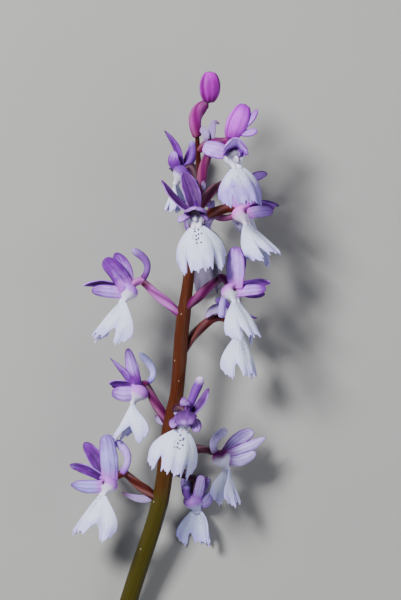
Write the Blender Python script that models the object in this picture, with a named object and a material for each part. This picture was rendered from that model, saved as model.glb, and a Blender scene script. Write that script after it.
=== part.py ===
"""Cut flower spike of a wild orchid, lying on its back.

The stem runs along Y with its cut end at -Y, and the flowers look up, to the sides and down
to the surface. The origin is on that surface, under the middle of the spike, and +Z is up.
Sizes are written in millimetres and angles in degrees. Each object is made in millimetres and
becomes metres when it is finished.

Sepals, petals and spurs are given by where their tips stand from the heart of the flower, along
the spike's own axes. A flower that is like the rest uses the typical ones, turned to where it
looks. A line that hangs or rises in a flower starts with a lean, which is 0 when it runs forward
out of the flower's mouth, 90 when it runs up and -90 when it runs down, and it curls as it grows.
"""

import math
from dataclasses import dataclass, replace

import bmesh
import bpy
from mathutils import Matrix, Vector

METRES = 0.001
SHEET = 0.6
SEAT_GAP = 0.3
LINE_STEPS = 24

HEART_RADIUS = 1.5
ROOT_DEPTH = 0.5
THROAT_LEAN = -62.0
THROAT_LENGTH = 3.1
THROAT_RADIUS = 2.7
THROAT_MOUTH = 1.3
HOOD_ARCH = 1.2
COLUMN_LEAN = 8.0
COLUMN_LENGTH = 1.2
COLUMN_RADIUS = 0.8

NECK_LENGTH = 1.6
KNOT_RADIUS = 1.0
STALK_RADIUS = 1.15
STALK_RIB = 0.14
STALK_TWIST = 150.0

LIP_START = THROAT_LENGTH + 0.45
LIP_LENGTH = 12.0
LIP_NECK = 1.8
LIP_HALF_WIDTH = 7.8
# Half of the lip's edge, each place by its share of the half width at the neck and at the edge, and
# by how far down it reaches. Each lip sets how far up the deep notch between these two lobes goes.
MIDDLE_LOBE = ((0.00, 0.00, 0.91), (0.10, 0.12, 1.00), (0.19, 0.22, 0.93), (0.28, 0.34, 0.98))
NOTCH_PLACE = (0.40, 0.45)
SIDE_LOBE = (
    (0.51, 0.57, 0.95), (0.58, 0.64, 1.00), (0.72, 0.73, 0.92), (0.86, 0.87, 0.84), (1.00, 1.00, 0.66),
)

# The stem's middle line and radius, from the cut end to the topmost stalk.
STEM = (
    (-19.0, -77.6, 2.1, 2.2),
    (-10.4, -50.0, 6.6, 2.2),
    (-3.9, -29.1, 11.3, 2.1),
    (-1.5, -11.3, 14.6, 1.95),
    (0.4, -1.2, 16.0, 1.75),
    (1.6, 13.9, 17.3, 1.8),
    (3.2, 26.4, 18.5, 1.4),
    (4.6, 38.0, 19.6, 1.1),
    (5.9, 50.0, 21.0, 0.75),
    (5.6, 58.7, 21.8, 0.6),
    (5.4, 62.4, 22.3, 0.55),
)
STEM_SIDES = 10
STEM_RINGS = 18


@dataclass(frozen=True)
class Blade:
    """A sepal or petal.

    It has its tip, how far its middle stands off the straight line, and where its inner side looks. Foot
    is its width where it starts, as a share of its full width, and root is how far off the heart it starts.
    A hood is arched round across, where the others are only cupped.
    """

    tip: tuple
    bend: tuple = (0.0, 0.0, 0.0)
    face: tuple = (0.0, 0.0, 1.0)
    width: float = 3.4
    cup: float = 0.25
    widest: float = 0.5
    point: float = 0.5
    foot: float = 0.5
    root: tuple = (0.0, 0.0, 0.0)
    hood: bool = False


@dataclass(frozen=True)
class Spur:
    """The hollow horn behind a flower."""

    tip: tuple
    bend: tuple = (0.0, 0.0, 0.0)
    radius: float = 0.9
    root: tuple = (0.0, 0.0, 0.0)


@dataclass(frozen=True)
class Lip:
    """The lip's hang: its lean at the neck, its curl, and the radius it arches to.

    Droop is how much more both side lobes lean, and swing is added to it for the right one and taken from
    it for the left one. Notch is how far down the deep notches start.
    """

    lean: float = -56.0
    curl: float = -22.0
    arch: float = 5.6
    size: float = 1.0
    droop: float = 12.0
    swing: float = 0.0
    notch: float = 0.6


TYPICAL_TOP = Blade((0.0, 4.2, 9.0), (0.0, 1.3, 0.0), (0.0, -1.0, 0.2))
TYPICAL_RIGHT = Blade((3.0, 11.0, 0.0), (0.8, 0.4, -0.6), (-1.0, 0.0, 0.3), 4.4)
TYPICAL_LEFT = Blade((-3.0, 11.0, 0.0), (-0.8, 0.4, -0.6), (1.0, 0.0, 0.3), 4.4)
TYPICAL_RIGHT_PETAL = Blade((1.6, 1.0, 8.6), (1.0, 0.6, 0.0), (-1.0, -0.4, 0.0), 2.8)
TYPICAL_LEFT_PETAL = Blade((-1.6, 1.0, 8.6), (-1.0, 0.6, 0.0), (1.0, -0.4, 0.0), 2.8)
TYPICAL_SPUR = Spur((0.0, 10.6, -1.0), (0.0, 0.2, -3.2))


@dataclass(frozen=True)
class Flower:
    """One open flower: where its heart is, where it looks, where its stalk leaves the stem, and its parts.

    Rise is how steeply the ovary comes up to the heart from behind, and bow how far it arches. A knot,
    where there is one, is where the ovary ends off the heart, and takes the place of the rise. Bract is how
    long the leaf at the ovary's foot is, and 0 where it has withered away.
    """

    heart: tuple
    yaw: float
    foot: float
    roll: float = 0.0
    rise: float = 20.0
    knot: tuple | None = None
    bow: float = 0.5
    top: Blade | None = None
    right: Blade | None = None
    left: Blade | None = None
    right_petal: Blade | None = None
    left_petal: Blade | None = None
    spur: Spur | None = None
    lip: Lip = Lip()
    bract: float = 3.2


# From the lowest flower to the topmost one.
FLOWERS = (
    Flower(
        (-17.0, -24.4, 14.0), -62, -29.6, knot=(4.1, 2.3, -1.0), bow=0.0,
        top=Blade((-9.6, 4.2, 0.0), (-0.3, 1.0, 0.0), (0.0, -0.7, 0.7), 3.4, foot=0.7),
        right=Blade(
            (-0.5, 12.1, 2.2), (0.5, 0.0, 0.3), (-0.3, 0.0, -1.0),
            4.7, point=0.3, foot=0.9, root=(0.5, -0.4, 1.0),
        ),
        left=Blade((-6.2, 9.8, -3.0), (0.5, 0.3, -0.8), (0.0, 0.0, 1.0), 4.0),
        right_petal=Blade(
            (-9.3, -0.5, 1.5), (0.2, -0.2, 0.2), (0.0, 0.3, -1.0),
            3.6, point=0.7, foot=0.9, root=(-0.8, -1.0, 0.9),
        ),
        left_petal=Blade((-8.6, 3.4, -1.5), (-0.2, 0.8, 0.0), (0.0, -0.7, 0.7), 2.4),
        spur=Spur((1.6, 10.4, -1.4), (2.6, 0.4, 0.6), 1.0, root=(2.9, 1.6, -0.6)),
        lip=Lip(-46, -12, 4.6, 1.02, 8, 8), bract=8.4,
    ),
    Flower(
        (4.4, -29.2, 4.3), 146, -20.0, knot=(0.4, 4.8, -0.9), bow=0.0,
        top=Blade((3.6, 5.4, -3.0), (0.5, 0.0, 0.0), (-1.0, 0.2, 0.0), 2.6),
        right=Blade((-2.2, 5.6, -2.6), (-0.6, 0.0, 0.0), (0.0, 0.2, -1.0), 2.8),
        left=Blade(
            (2.0, 6.0, 1.4), (0.2, 0.0, 0.6), (0.3, 0.0, -1.0),
            2.8, point=0.3, foot=0.8, root=(0.2, -1.2, 1.2),
        ),
        right_petal=Blade((4.2, 5.0, -2.0), (0.5, -0.4, 0.0), (-0.6, 0.2, -0.6), 2.2),
        left_petal=Blade(
            (4.3, 1.8, 0.6), (0.6, -1.3, 0.6), (0.2, 0.4, -1.0), 3.4, foot=0.6, root=(0.3, -0.4, 0.3),
        ),
        spur=Spur((-1.8, 3.6, 2.8), (-0.6, 0.0, 0.4), 0.95, root=(-0.6, -0.6, 0.2)),
        lip=Lip(-66, -12, 4.8, 0.8, 8, -2),
    ),
    Flower(
        (11.5, -18.0, 10.5), 108, -16.8, knot=(-2.4, 1.2, -1.2), bow=0.2,
        top=Blade((9.2, 3.4, 0.0), (0.3, 0.9, 0.0), (0.0, -0.8, 0.5), 2.8),
        right=Blade((8.2, 6.3, -1.5), (0.2, 0.6, 0.0), (0.0, 0.2, 1.0), 3.6, point=0.4),
        left=Blade(
            (11.4, 5.0, 1.5), (0.2, -0.6, 0.6), (0.0, 0.3, -1.0),
            3.0, point=0.9, foot=0.7, root=(0.2, 0.2, 0.9),
        ),
        right_petal=Blade((8.3, 2.6, -1.6), (0.2, -0.3, 0.0), (0.0, 0.2, 1.0), 2.4),
        left_petal=Blade(
            (8.6, 1.2, 1.6), (0.4, -1.3, 0.3), (0.0, 0.4, -1.0),
            3.2, point=0.4, foot=0.8, root=(0.6, -0.8, 0.6),
        ),
        spur=Spur((1.6, 6.7, 0.2), (-1.9, 0.3, 0.5), 1.05, root=(-1.1, 0.3, 0.2)),
        lip=Lip(-68, -6, 4.0, 0.84, 9, -6, 0.5),
    ),
    Flower(
        (2.5, -7.8, 25.5), 10, -6.5, roll=-17, rise=50,
        top=Blade((0.0, -1.6, 5.0), (0.0, 2.4, 0.8), (0.0, -1.0, -0.3), 5.6, 0.5, point=0.3, hood=True),
        right=Blade((5.7, 7.3, -2.0), (0.6, -0.8, 0.0), (-0.8, 0.3, 0.6), 3.4),
        left=Blade((-1.1, 3.2, 3.0), (1.3, 2.3, -0.8), (-0.4, -0.8, -0.4), 3.2),
        right_petal=Blade((2.6, -3.4, 3.6), (0.9, 0.8, 0.4), (-0.3, -0.7, -0.9), 3.4, point=0.5),
        left_petal=Blade((-3.0, -2.4, 3.6), (-0.8, 0.8, 0.4), (0.3, -0.7, -0.9), 3.4, point=0.7),
        spur=Spur((4.1, 10.2, -4.0), (-0.1, 0.0, -1.2), 1.1),
        lip=Lip(-74, -14, 6.6, 1.0, 6),
    ),
    Flower(
        (-9.2, -1.2, 14.5), -95, -11.0, knot=(1.6, 1.6, -1.2), bow=0.0,
        top=Blade((-7.6, 1.6, 0.0), (0.0, 0.9, 0.0), (0.0, -0.8, 0.6), 3.0, foot=0.7),
        right=Blade((-2.8, 10.5, 2.3), (-0.1, 0.2, 0.4), (-0.6, 0.0, -1.0), 3.4, root=(0.3, 0.4, 0.9)),
        left=Blade((-7.3, 8.0, -2.0), (0.7, -0.5, -0.4), (0.3, 0.4, 1.0), 2.6, widest=0.25, point=1.0),
        right_petal=Blade(
            (-6.8, -0.5, 1.7), (0.0, -0.3, 0.3), (0.0, 0.2, -1.0),
            4.0, point=0.4, foot=0.85, root=(0.2, -0.7, 0.9),
        ),
        left_petal=Blade((-7.0, 0.9, -1.6), (0.0, 0.6, 0.0), (0.0, -0.6, 0.8), 2.4),
        spur=Spur((0.0, 9.3, -0.5), (2.4, -0.6, -0.2), 0.9, root=(1.9, 1.7, -0.4)),
        lip=Lip(-60, -4, 4.0, 0.9, 14, 14, 0.5),
    ),
    Flower(
        (14.9, 15.6, 13.5), 48, 6.6, knot=(-3.5, 1.5, -1.2), bow=0.6, bract=0.0,
        left=Blade(
            (-7.4, 1.2, 2.0), (-0.2, 2.8, 0.7), (0.0, 0.0, -1.0), 2.6, point=0.7, root=(-0.4, 0.0, 1.0),
        ),
        right=Blade((0.6, 7.2, -4.5), (0.3, 0.0, -0.8), (-0.7, 0.0, 0.7), 3.6),
        top=Blade((5.4, 1.2, 4.2), (0.0, 1.2, 0.0), (-0.1, -1.0, 0.2), 3.0),
        right_petal=Blade((5.2, -1.2, 3.0), (0.3, 0.5, 0.0), (0.0, -0.6, 0.8), 2.4),
        left_petal=Blade((3.0, -0.8, 5.2), (0.0, 0.5, 0.3), (0.0, 0.2, -1.0), 2.4),
        spur=Spur((-5.0, 5.4, -5.0), (0.5, 1.9, -0.9), 0.85),
        lip=Lip(-62, -14, 4.8, 0.96, 6, -2),
    ),
    Flower(
        (13.8, 24.1, 26.0), 50, 18.9, knot=(-2.2, 3.1, -1.0), bow=0.08, bract=0.0,
        top=Blade((9.8, 1.5, 0.2), (0.4, 1.0, 0.2), (-0.1, -0.85, 0.6), 3.2, foot=0.7),
        left=Blade(
            (1.0, 10.4, 2.2), (0.2, 0.0, 0.4), (0.4, 0.0, -1.0),
            5.0, point=0.32, foot=0.8, root=(0.7, -0.3, 1.0),
        ),
        right=Blade((3.1, 8.4, -0.6), (0.4, 0.0, -0.5), (-0.5, 0.0, 0.9), 3.4),
        left_petal=Blade(
            (8.6, 0.0, 1.9), (0.2, 0.3, 0.2), (0.0, -0.4, -0.9),
            3.2, point=0.4, foot=0.8, root=(0.6, -0.8, 0.8),
        ),
        right_petal=Blade((8.4, -1.2, -1.0), (0.3, -0.3, 0.0), (0.0, 0.3, 1.0), 2.6),
        spur=Spur((-2.2, -7.2, -1.6), (-0.6, 0.0, -0.4), 0.9, root=(-0.8, -0.2, -0.8)),
        lip=Lip(-46, -14, 4.8, 0.94, 12, -12),
    ),
    Flower(
        (-11.8, 24.1, 20.0), -60, 16.9, knot=(3.2, 2.3, -1.0), bow=0.0, bract=0.0,
        top=Blade((-11.2, 0.9, 0.2), (-0.3, 1.1, 0.2), (0.0, -0.85, 0.55), 3.0, point=0.8, foot=0.7),
        right=Blade(
            (-6.0, 7.4, 2.2), (0.4, 0.5, 0.4), (-0.4, -0.2, -1.0),
            4.8, point=0.32, foot=0.9, root=(0.2, -0.5, 1.0),
        ),
        left=Blade((-3.4, 9.0, -1.5), (0.8, 0.2, -0.8), (0.0, 0.0, 1.0), 4.2),
        right_petal=Blade(
            (-9.0, -0.2, 1.8), (0.0, -0.1, 0.2), (0.0, 0.3, -1.0),
            3.4, point=0.4, foot=0.9, root=(-0.8, -1.0, 0.9),
        ),
        left_petal=Blade((-8.8, 0.9, -1.5), (-0.2, 0.6, 0.0), (0.0, -0.7, 0.7), 2.2),
        spur=Spur((0.7, 9.9, -1.0), (2.6, 0.6, -0.5), 0.95, root=(3.2, 1.9, -0.8)),
        lip=Lip(-42, -12, 4.8, 1.0, 6, 3),
    ),
    Flower(
        (6.6, 35.6, 8.8), 172, 27.0,
        right=Blade((-3.4, 6.6, 0.8), (-0.8, 0.3, 0.4), (0.3, 0.0, 0.9), 3.6),
        lip=Lip(-66, -14, 5.0, 0.82, 8),
    ),
    Flower(
        (4.9, 42.5, 31.0), -3, 36.0, roll=8, rise=20,
        top=Blade((0.0, 0.5, 5.4), (0.0, 1.4, 0.3), (0.0, -1.0, -0.3), 5.8, 0.65, point=0.22, hood=True),
        right=Blade((-3.0, 10.4, -2.5), (0.7, 0.0, -0.4), (0.2, 0.1, 1.0), 4.4),
        left=Blade((-8.2, 8.4, -1.5), (-0.4, -1.0, 0.0), (0.6, 0.5, 0.6), 3.0, point=0.8),
        right_petal=Blade((2.8, -1.8, 4.2), (0.8, 0.6, 0.3), (-0.7, -0.6, -0.4), 2.6),
        left_petal=Blade((-3.5, -2.2, 4.0), (-0.8, 0.6, 0.3), (0.5, -0.5, -0.7), 3.2),
        spur=Spur((-0.5, 8.6, -6.0), (0.5, 1.0, -0.2), 0.95),
        lip=Lip(-70, -14, 6.6, 1.0, 8, 0, 0.58),
    ),
    Flower(
        (16.5, 43.5, 18.5), 58, 40.4, rise=25,
        top=Blade((9.4, 1.4, 0.0), (0.0, 1.7, 0.0), (-0.1, -1.0, 0.3), 3.2, foot=0.7),
        left=Blade((-3.4, 8.2, 1.0), (-0.4, 0.0, 0.4), (0.3, 0.0, -1.0), 4.2),
        right=Blade((2.2, 7.0, -2.0), (0.3, 0.0, -0.6), (-0.5, 0.0, 0.9), 3.6),
        left_petal=Blade(
            (7.8, 0.0, 1.9), (0.0, 0.4, 0.2), (0.0, 0.2, -1.0),
            3.0, point=0.3, foot=0.9, root=(0.8, -0.8, 0.8),
        ),
        right_petal=Blade((8.4, 0.9, -1.5), (0.2, 0.9, 0.0), (0.0, -0.6, 0.8), 2.4),
        spur=Spur((-6.8, -1.0, -3.0), (0.0, -0.9, -0.5), 0.85),
        lip=Lip(-36, -8, 4.2, 1.0, 12, -12),
    ),
    Flower(
        (1.6, 54.1, 9.6), -105, 46.0, rise=30,
        top=Blade((-3.0, 1.0, -9.6), (0.0, 0.8, 0.0), (0.2, -1.0, 0.0), 2.8),
        right=Blade((2.6, 6.8, -4.2), (0.6, 0.0, -0.6), (0.0, 0.0, 1.0), 3.0),
        left=Blade((-4.5, 10.3, -1.0), (0.9, 0.3, 0.0), (0.4, 0.3, 1.0), 2.0, point=0.9),
        right_petal=Blade((0.6, 0.4, -6.2), (0.4, 0.4, 0.0), (-1.0, -0.3, 0.0), 2.4),
        left_petal=Blade((-1.8, 4.8, 1.6), (-1.2, -0.6, 0.8), (0.4, 0.0, -1.0), 3.2, point=0.4),
        spur=Spur((2.2, 7.6, -1.0), (1.4, 0.0, 0.4), 0.9),
        lip=Lip(-64, -12, 3.4, 0.66, 6, 0),
    ),
    Flower(
        (16.4, 50.0, 10.5), 96, 43.4,
        top=Blade((6.8, 3.3, -1.0), (0.0, 0.8, 0.0), (0.0, -0.3, 1.0), 2.4),
        right=Blade((-2.4, 4.6, -3.0), (-0.4, 0.0, -0.6), (0.0, 0.0, 1.0), 3.2),
        left=Blade((-1.4, 4.2, 1.0), (-0.3, 0.0, 0.6), (0.0, 0.0, -1.0), 3.2),
        right_petal=Blade((4.2, 0.6, -2.0), (0.0, 0.3, 0.0), (0.0, -0.4, 0.8), 2.2),
        left_petal=Blade((4.0, 0.2, 1.4), (0.0, 0.3, 0.0), (0.0, 0.2, -1.0), 2.2),
        spur=Spur((-0.8, 6.0, -1.0), (-1.2, 0.4, 0.0), 0.9),
        lip=Lip(-70, -12, 3.4, 0.76, 10),
    ),
    Flower(
        (14.3, 57.0, 29.0), 18, 46.5, roll=8, knot=(-5.8, 1.2, -2.5), bow=0.4,
        top=Blade((0.5, 3.4, 5.0), (0.0, 0.9, 0.0), (0.0, -1.0, -0.1), 6.2, 1.1, point=0.2, hood=True),
        right=Blade((2.0, 2.5, -7.6), (0.0, 0.8, 0.0), (0.0, 1.0, 0.0), 3.6),
        left=Blade((-7.4, 2.2, -2.0), (-0.3, 0.2, 0.6), (0.0, 0.2, 1.0), 4.4, point=0.35),
        right_petal=Blade((1.7, 0.6, 3.6), (0.7, 0.3, 0.0), (-1.0, -0.3, -0.2), 1.8),
        left_petal=Blade((-1.4, 0.6, 3.6), (-0.7, 0.3, 0.0), (1.0, -0.3, -0.2), 1.8),
        spur=Spur((-1.4, 0.8, -8.5), (0.2, 0.8, 0.0), 0.9),
        lip=Lip(-54, -20, 6.4, 0.9, 4, 6, 0.66),
    ),
)


@dataclass(frozen=True)
class Bud:
    """A bud on its stalk: its foot and tip, its width, and how its stalk leaves the stem."""

    foot: tuple
    tip: tuple
    width: float
    stem_foot: float
    handle: tuple
    end_handle: tuple
    bracts: tuple
    sepals: tuple = ()
    stalk_radius: float = 1.1


BUDS = (
    Bud(
        (13.3, 61.2, 24.0), (17.5, 69.8, 25.5), 5.4, 58.2, (7.6, 61.0, 22.6), (10.6, 60.4, 23.4),
        (((9.2, 60.5, 22.9), (8.4, 67.0, 24.0), (11.0, 65.0, 25.0)),),
        (((17.2, 63.2, 25.2), (20.3, 68.6, 26.4)), ((15.6, 61.9, 25.0), (20.4, 63.3, 26.0))),
    ),
    Bud(
        (8.3, 70.2, 24.0), (8.7, 78.0, 25.0), 5.2, 62.8, (4.2, 66.0, 22.6), (5.6, 70.0, 23.4),
        (((6.0, 64.0, 23.1), (8.5, 63.2, 24.0), (7.2, 59.8, 24.4)),), (), 1.6,
    ),
)


def direction(lean):
    """The way that a line of a flower runs, on the flower's own axes."""
    angle = math.radians(lean)
    return Vector((0.0, math.sin(angle), math.cos(angle)))


def walk(root, length, lean, curl):
    """Walks a curling line on a flower's own axes, and gives (point, along, side, face) at each step."""
    frames = []
    point = Vector(root)
    for step in range(LINE_STEPS + 1):
        angle = math.radians(lean + curl * step / LINE_STEPS)
        along = Vector((0.0, math.sin(angle), math.cos(angle)))
        face = Vector((0.0, -math.cos(angle), math.sin(angle)))
        frames.append((point.copy(), along, along.cross(face), face))
        point += along * (length / LINE_STEPS)
    return frames


def follow(points, face):
    """Frames along a line of points. The face is set in the middle and carried both ways without twist."""
    last = len(points) - 1
    ways = [(points[min(i + 1, last)] - points[max(i - 1, 0)]).normalized() for i in range(last + 1)]
    middle = last // 2
    faces = [None] * (last + 1)
    faces[middle] = Vector(face).normalized()
    for index in [middle, *range(middle + 1, last + 1), *range(middle - 1, -1, -1)]:
        source = faces[index] or faces[index - 1 if index > middle else index + 1]
        faces[index] = (source - ways[index] * source.dot(ways[index])).normalized()
    return [(point, way, way.cross(side), side) for point, way, side in zip(points, ways, faces)]


def bezier(start, start_handle, end_handle, end):
    """Points on a Bezier line."""
    points = []
    for index in range(LINE_STEPS + 1):
        t = index / LINE_STEPS
        s = 1 - t
        point = start * s**3 + start_handle * (3 * s * s * t)
        points.append(point + end_handle * (3 * s * t * t) + end * t**3)
    return points


def bowed(start, middle, end):
    """Points on a bowed line, pulled towards a middle handle."""
    return bezier(start, start.lerp(middle, 2 / 3), end.lerp(middle, 2 / 3), end)


def frame_at(frames, share):
    """The frame at a share of the line's length."""
    place = min(max(share, 0.0), 1.0) * (len(frames) - 1)
    low = min(int(place), len(frames) - 2)
    part = place - low
    point, along, side, face = (a.lerp(b, part) for a, b in zip(frames[low], frames[low + 1]))
    return point, along.normalized(), side.normalized(), face.normalized()


def stretch(frames, start, end, steps=12):
    """The part of a line between two shares of it."""
    return [frame_at(frames, start + (end - start) * index / steps) for index in range(steps + 1)]


def line_length(frames):
    """How long a line is."""
    return sum((after[0] - before[0]).length for before, after in zip(frames, frames[1:]))


def smooth_step(low, high, value):
    """0 below low, 1 above high, and an easy curve between."""
    share = min(max((value - low) / (high - low), 0.0), 1.0)
    return share * share * (3 - 2 * share)


def new_object(name, bm):
    """An object from a bmesh in millimetres, all flat triangles so that a Boolean cuts it cleanly."""
    bmesh.ops.recalc_face_normals(bm, faces=bm.faces)
    bmesh.ops.triangulate(bm, faces=bm.faces)
    mesh = bpy.data.meshes.new(name)
    bm.to_mesh(mesh)
    bm.free()
    obj = bpy.data.objects.new(name, mesh)
    bpy.context.scene.collection.objects.link(obj)
    return obj


def sheet(surface, columns, rows):
    """A closed thin sheet round the surface that surface(column, row) gives."""
    bm = bmesh.new()
    bmesh.ops.create_grid(bm, x_segments=columns, y_segments=rows, size=1.0)
    for vertex in bm.verts:
        column = round((vertex.co.x + 1) / 2 * columns)
        row = round((vertex.co.y + 1) / 2 * rows)
        vertex.co = surface(column, row)
    bmesh.ops.triangulate(bm, faces=bm.faces)
    bm.normal_update()
    offsets = [vertex.normal * (SHEET / 2) for vertex in bm.verts]
    place = bm.verts.layers.int.new("place")
    for index, vertex in enumerate(bm.verts):
        vertex[place] = index
    back = bmesh.ops.extrude_face_region(bm, geom=bm.faces[:], use_keep_orig=True)["geom"]
    backs = {part for part in back if isinstance(part, bmesh.types.BMVert)}
    for vertex in bm.verts:
        vertex.co += offsets[vertex[place]] * (-1 if vertex in backs else 1)
    return new_object("sheet", bm)


def blade_half(blade, share):
    """Half the blade's width at a share of its length."""
    if share < blade.widest:
        opening = math.sin(math.pi / 2 * share / blade.widest)
        return blade.width / 2 * (blade.foot + (1 - blade.foot) * opening)
    past = (share - blade.widest) / (1 - blade.widest)
    return blade.width / 2 * max((1 - past * past) ** blade.point, 0.16)


def blade_solid(frames, blade, rows):
    """A sepal, petal or bract along its line."""
    columns = 4 if blade.hood else 2

    def surface(column, row):
        share = row / rows
        across = 2 * column / columns - 1
        rise = across * across
        if blade.hood:
            rise = (1 - math.cos(HOOD_ARCH * across)) / (1 - math.cos(HOOD_ARCH))
            across = math.sin(HOOD_ARCH * across) / math.sin(HOOD_ARCH)
        point, _, side, face = frame_at(frames, share)
        half = blade_half(blade, share)
        return point + side * (across * half) + face * (blade.cup * half * rise)

    return sheet(surface, columns, rows)


def organ_line(heart, organ):
    """The line of a sepal, petal or spur, which starts inside the heart or a little off it."""
    heart = Vector(heart)
    root = heart + Vector(organ.root)
    tip = heart + Vector(organ.tip)
    handle = root.lerp(tip, 0.5) + Vector(organ.bend) * 2
    start = root + (handle - root).normalized() * ROOT_DEPTH
    return bowed(start, handle, tip)


def turned(organ, flower):
    """A typical organ, turned to where the flower looks."""
    turn = own_axes(flower)
    changes = {name: tuple(turn @ Vector(getattr(organ, name))) for name in ("tip", "bend")}
    if isinstance(organ, Blade):
        changes["face"] = tuple(turn @ Vector(organ.face))
    return replace(organ, **changes)


def lip_half(share):
    """Half the lip's width, measured round its arch, at a share of its length."""
    return LIP_NECK + (LIP_HALF_WIDTH - LIP_NECK) * math.sin(math.pi / 2 * min(share / 0.62, 1.0))


def lobe_lean(lip, end):
    """The lean of the lip at its neck, for a place across its edge."""
    aside = smooth_step(0.3, 0.62, abs(end))
    return lip.lean - aside * (lip.droop + math.copysign(lip.swing, end))


def lip_solid(lip, rows=3):
    """The three-lobed lip, arched across and hanging from the throat, on the flower's own axes."""
    half = (*MIDDLE_LOBE, (*NOTCH_PLACE, lip.notch), *SIDE_LOBE)
    edge = [(-base, -end, reach) for base, end, reach in reversed(half[1:])] + list(half)
    start = direction(THROAT_LEAN) * LIP_START
    lines = [walk(start, LIP_LENGTH * lip.size, lobe_lean(lip, end), lip.curl) for _, end, _ in edge]

    def surface(column, row):
        base, end, reach = edge[column]
        share = reach * row / rows
        point, _, side, face = frame_at(lines[column], share)
        arch = lip.arch * (1 + abs(lip.swing) / 20) if end * lip.swing < 0 else lip.arch
        turn = (base + (end - base) * row / rows) * lip_half(share) * lip.size / arch
        return point + side * (arch * math.sin(turn)) + face * (arch * (1 - math.cos(turn)))

    return sheet(surface, len(edge) - 1, rows)


def tube(frames, radius_at, sides, rings, rib=0.0, twist=0.0):
    """A closed tube along its line, with three ribs where rib isn't 0."""
    bm = bmesh.new()
    loops = []
    for ring in range(rings + 1):
        share = ring / rings
        point, _, side, face = frame_at(frames, share)
        loop = []
        for index in range(sides):
            angle = math.tau * index / sides
            radius = radius_at(share) * (1 + rib * math.cos(3 * angle))
            turned_angle = angle + math.radians(twist) * share
            way = side * math.cos(turned_angle) + face * math.sin(turned_angle)
            loop.append(bm.verts.new(point + way * radius))
        loops.append(loop)
    for low, high in zip(loops, loops[1:]):
        for index in range(sides):
            after = (index + 1) % sides
            bm.faces.new((low[index], low[after], high[after], high[index]))
    bm.faces.new(loops[0])
    bm.faces.new(loops[-1])
    return new_object("tube", bm)


def spur_share(share):
    """The spur is slim behind the heart and swells to a blunt club at its tip."""
    body = 0.86 + 0.24 * smooth_step(0.2, 0.75, share)
    return body if share < 0.85 else body * max(math.sqrt(1 - ((share - 0.85) / 0.155) ** 2), 0.3)


def stalk_share(share):
    """The ovary is a little fuller in its middle than at its ends."""
    return 0.74 + 0.28 * math.sin(math.pi * share)


def ball(centre, radius):
    """The heart of a flower, where its parts meet, or the knot at the end of its ovary."""
    bm = bmesh.new()
    bmesh.ops.create_icosphere(bm, subdivisions=1, radius=radius, matrix=Matrix.Translation(centre))
    return new_object("ball", bm)


def apply_modifiers(obj):
    """Applies what modifiers the object has."""
    mesh = bpy.data.meshes.new_from_object(obj.evaluated_get(bpy.context.evaluated_depsgraph_get()))
    obj.modifiers.clear()
    obj.data = mesh


def fused(pieces):
    """Joins closed bodies that run into each other, by one union on a collection."""
    body, *others = pieces
    group = bpy.data.collections.new("joined")
    bpy.context.scene.collection.children.link(group)
    for other in others:
        bpy.context.scene.collection.objects.unlink(other)
        group.objects.link(other)
    join = body.modifiers.new("Join", "BOOLEAN")
    join.operation = "UNION"
    join.solver = "EXACT"
    join.operand_type = "COLLECTION"
    join.collection = group
    apply_modifiers(body)
    for other in others:
        bpy.data.objects.remove(other)
    bpy.data.collections.remove(group)
    return body


def cut(body, cutter):
    """Takes the cutter's shape out of the body."""
    take = body.modifiers.new("Cut", "BOOLEAN")
    take.operation = "DIFFERENCE"
    take.solver = "EXACT"
    take.object = cutter
    apply_modifiers(body)


def finished(obj, name, material):
    """Names and colours an object, presses what is lowest flat on the surface, and makes it metres."""
    obj.name = name
    obj.data.name = name
    for vertex in obj.data.vertices:
        vertex.co.z = max(vertex.co.z, 0.0)
    obj.data.transform(Matrix.Scale(METRES, 4))
    obj.data.materials.clear()
    obj.data.materials.append(material)
    obj.data.shade_smooth()
    obj.data.set_sharp_from_angle(angle=math.radians(50))


def stem_at(y):
    """The stem's middle and radius at a height, on a smooth line through its stations."""
    last = len(STEM) - 2
    low = next((i for i in range(last) if y < STEM[i + 1][1]), last)
    first, second = STEM[low], STEM[low + 1]
    span = second[1] - first[1]
    t = (y - first[1]) / span

    def slope(index, part):
        before, after = STEM[max(index - 1, 0)], STEM[min(index + 1, len(STEM) - 1)]
        return (after[part] - before[part]) / (after[1] - before[1]) * span

    def blend(part):
        return (
            first[part] * (2 * t**3 - 3 * t**2 + 1)
            + slope(low, part) * (t**3 - 2 * t**2 + t)
            + second[part] * (3 * t**2 - 2 * t**3)
            + slope(low + 1, part) * (t**3 - t**2)
        )

    return Vector((blend(0), y, blend(2))), blend(3)


def stem_tube(grow=0.0, past=0.0):
    """The stem as a tube, thicker by grow and longer by past where it serves as a cutter."""
    bottom, top = STEM[0][1], STEM[-1][1]
    heights = [bottom + (top - bottom) * index / STEM_RINGS for index in range(STEM_RINGS + 1)]
    frames = follow([stem_at(y)[0] for y in heights], (0, 0, -1))
    point, along, side, face = frames[-1]
    frames[-1] = (point + along * past, along, side, face)
    span = top - bottom
    return tube(frames, lambda share: stem_at(bottom + span * share)[1] + grow, STEM_SIDES, STEM_RINGS)


def own_axes(flower):
    """The turn from a flower's own axes, with Z out of its mouth, to the spike's."""
    turn = Matrix.Rotation(math.radians(flower.yaw), 3, "Y")
    return turn @ Matrix.Rotation(math.radians(flower.roll), 3, "Z")


def placing(flower):
    """The matrix that sets what is made on a flower's own axes in the spike."""
    return Matrix.Translation(flower.heart) @ own_axes(flower).to_4x4()


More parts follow.
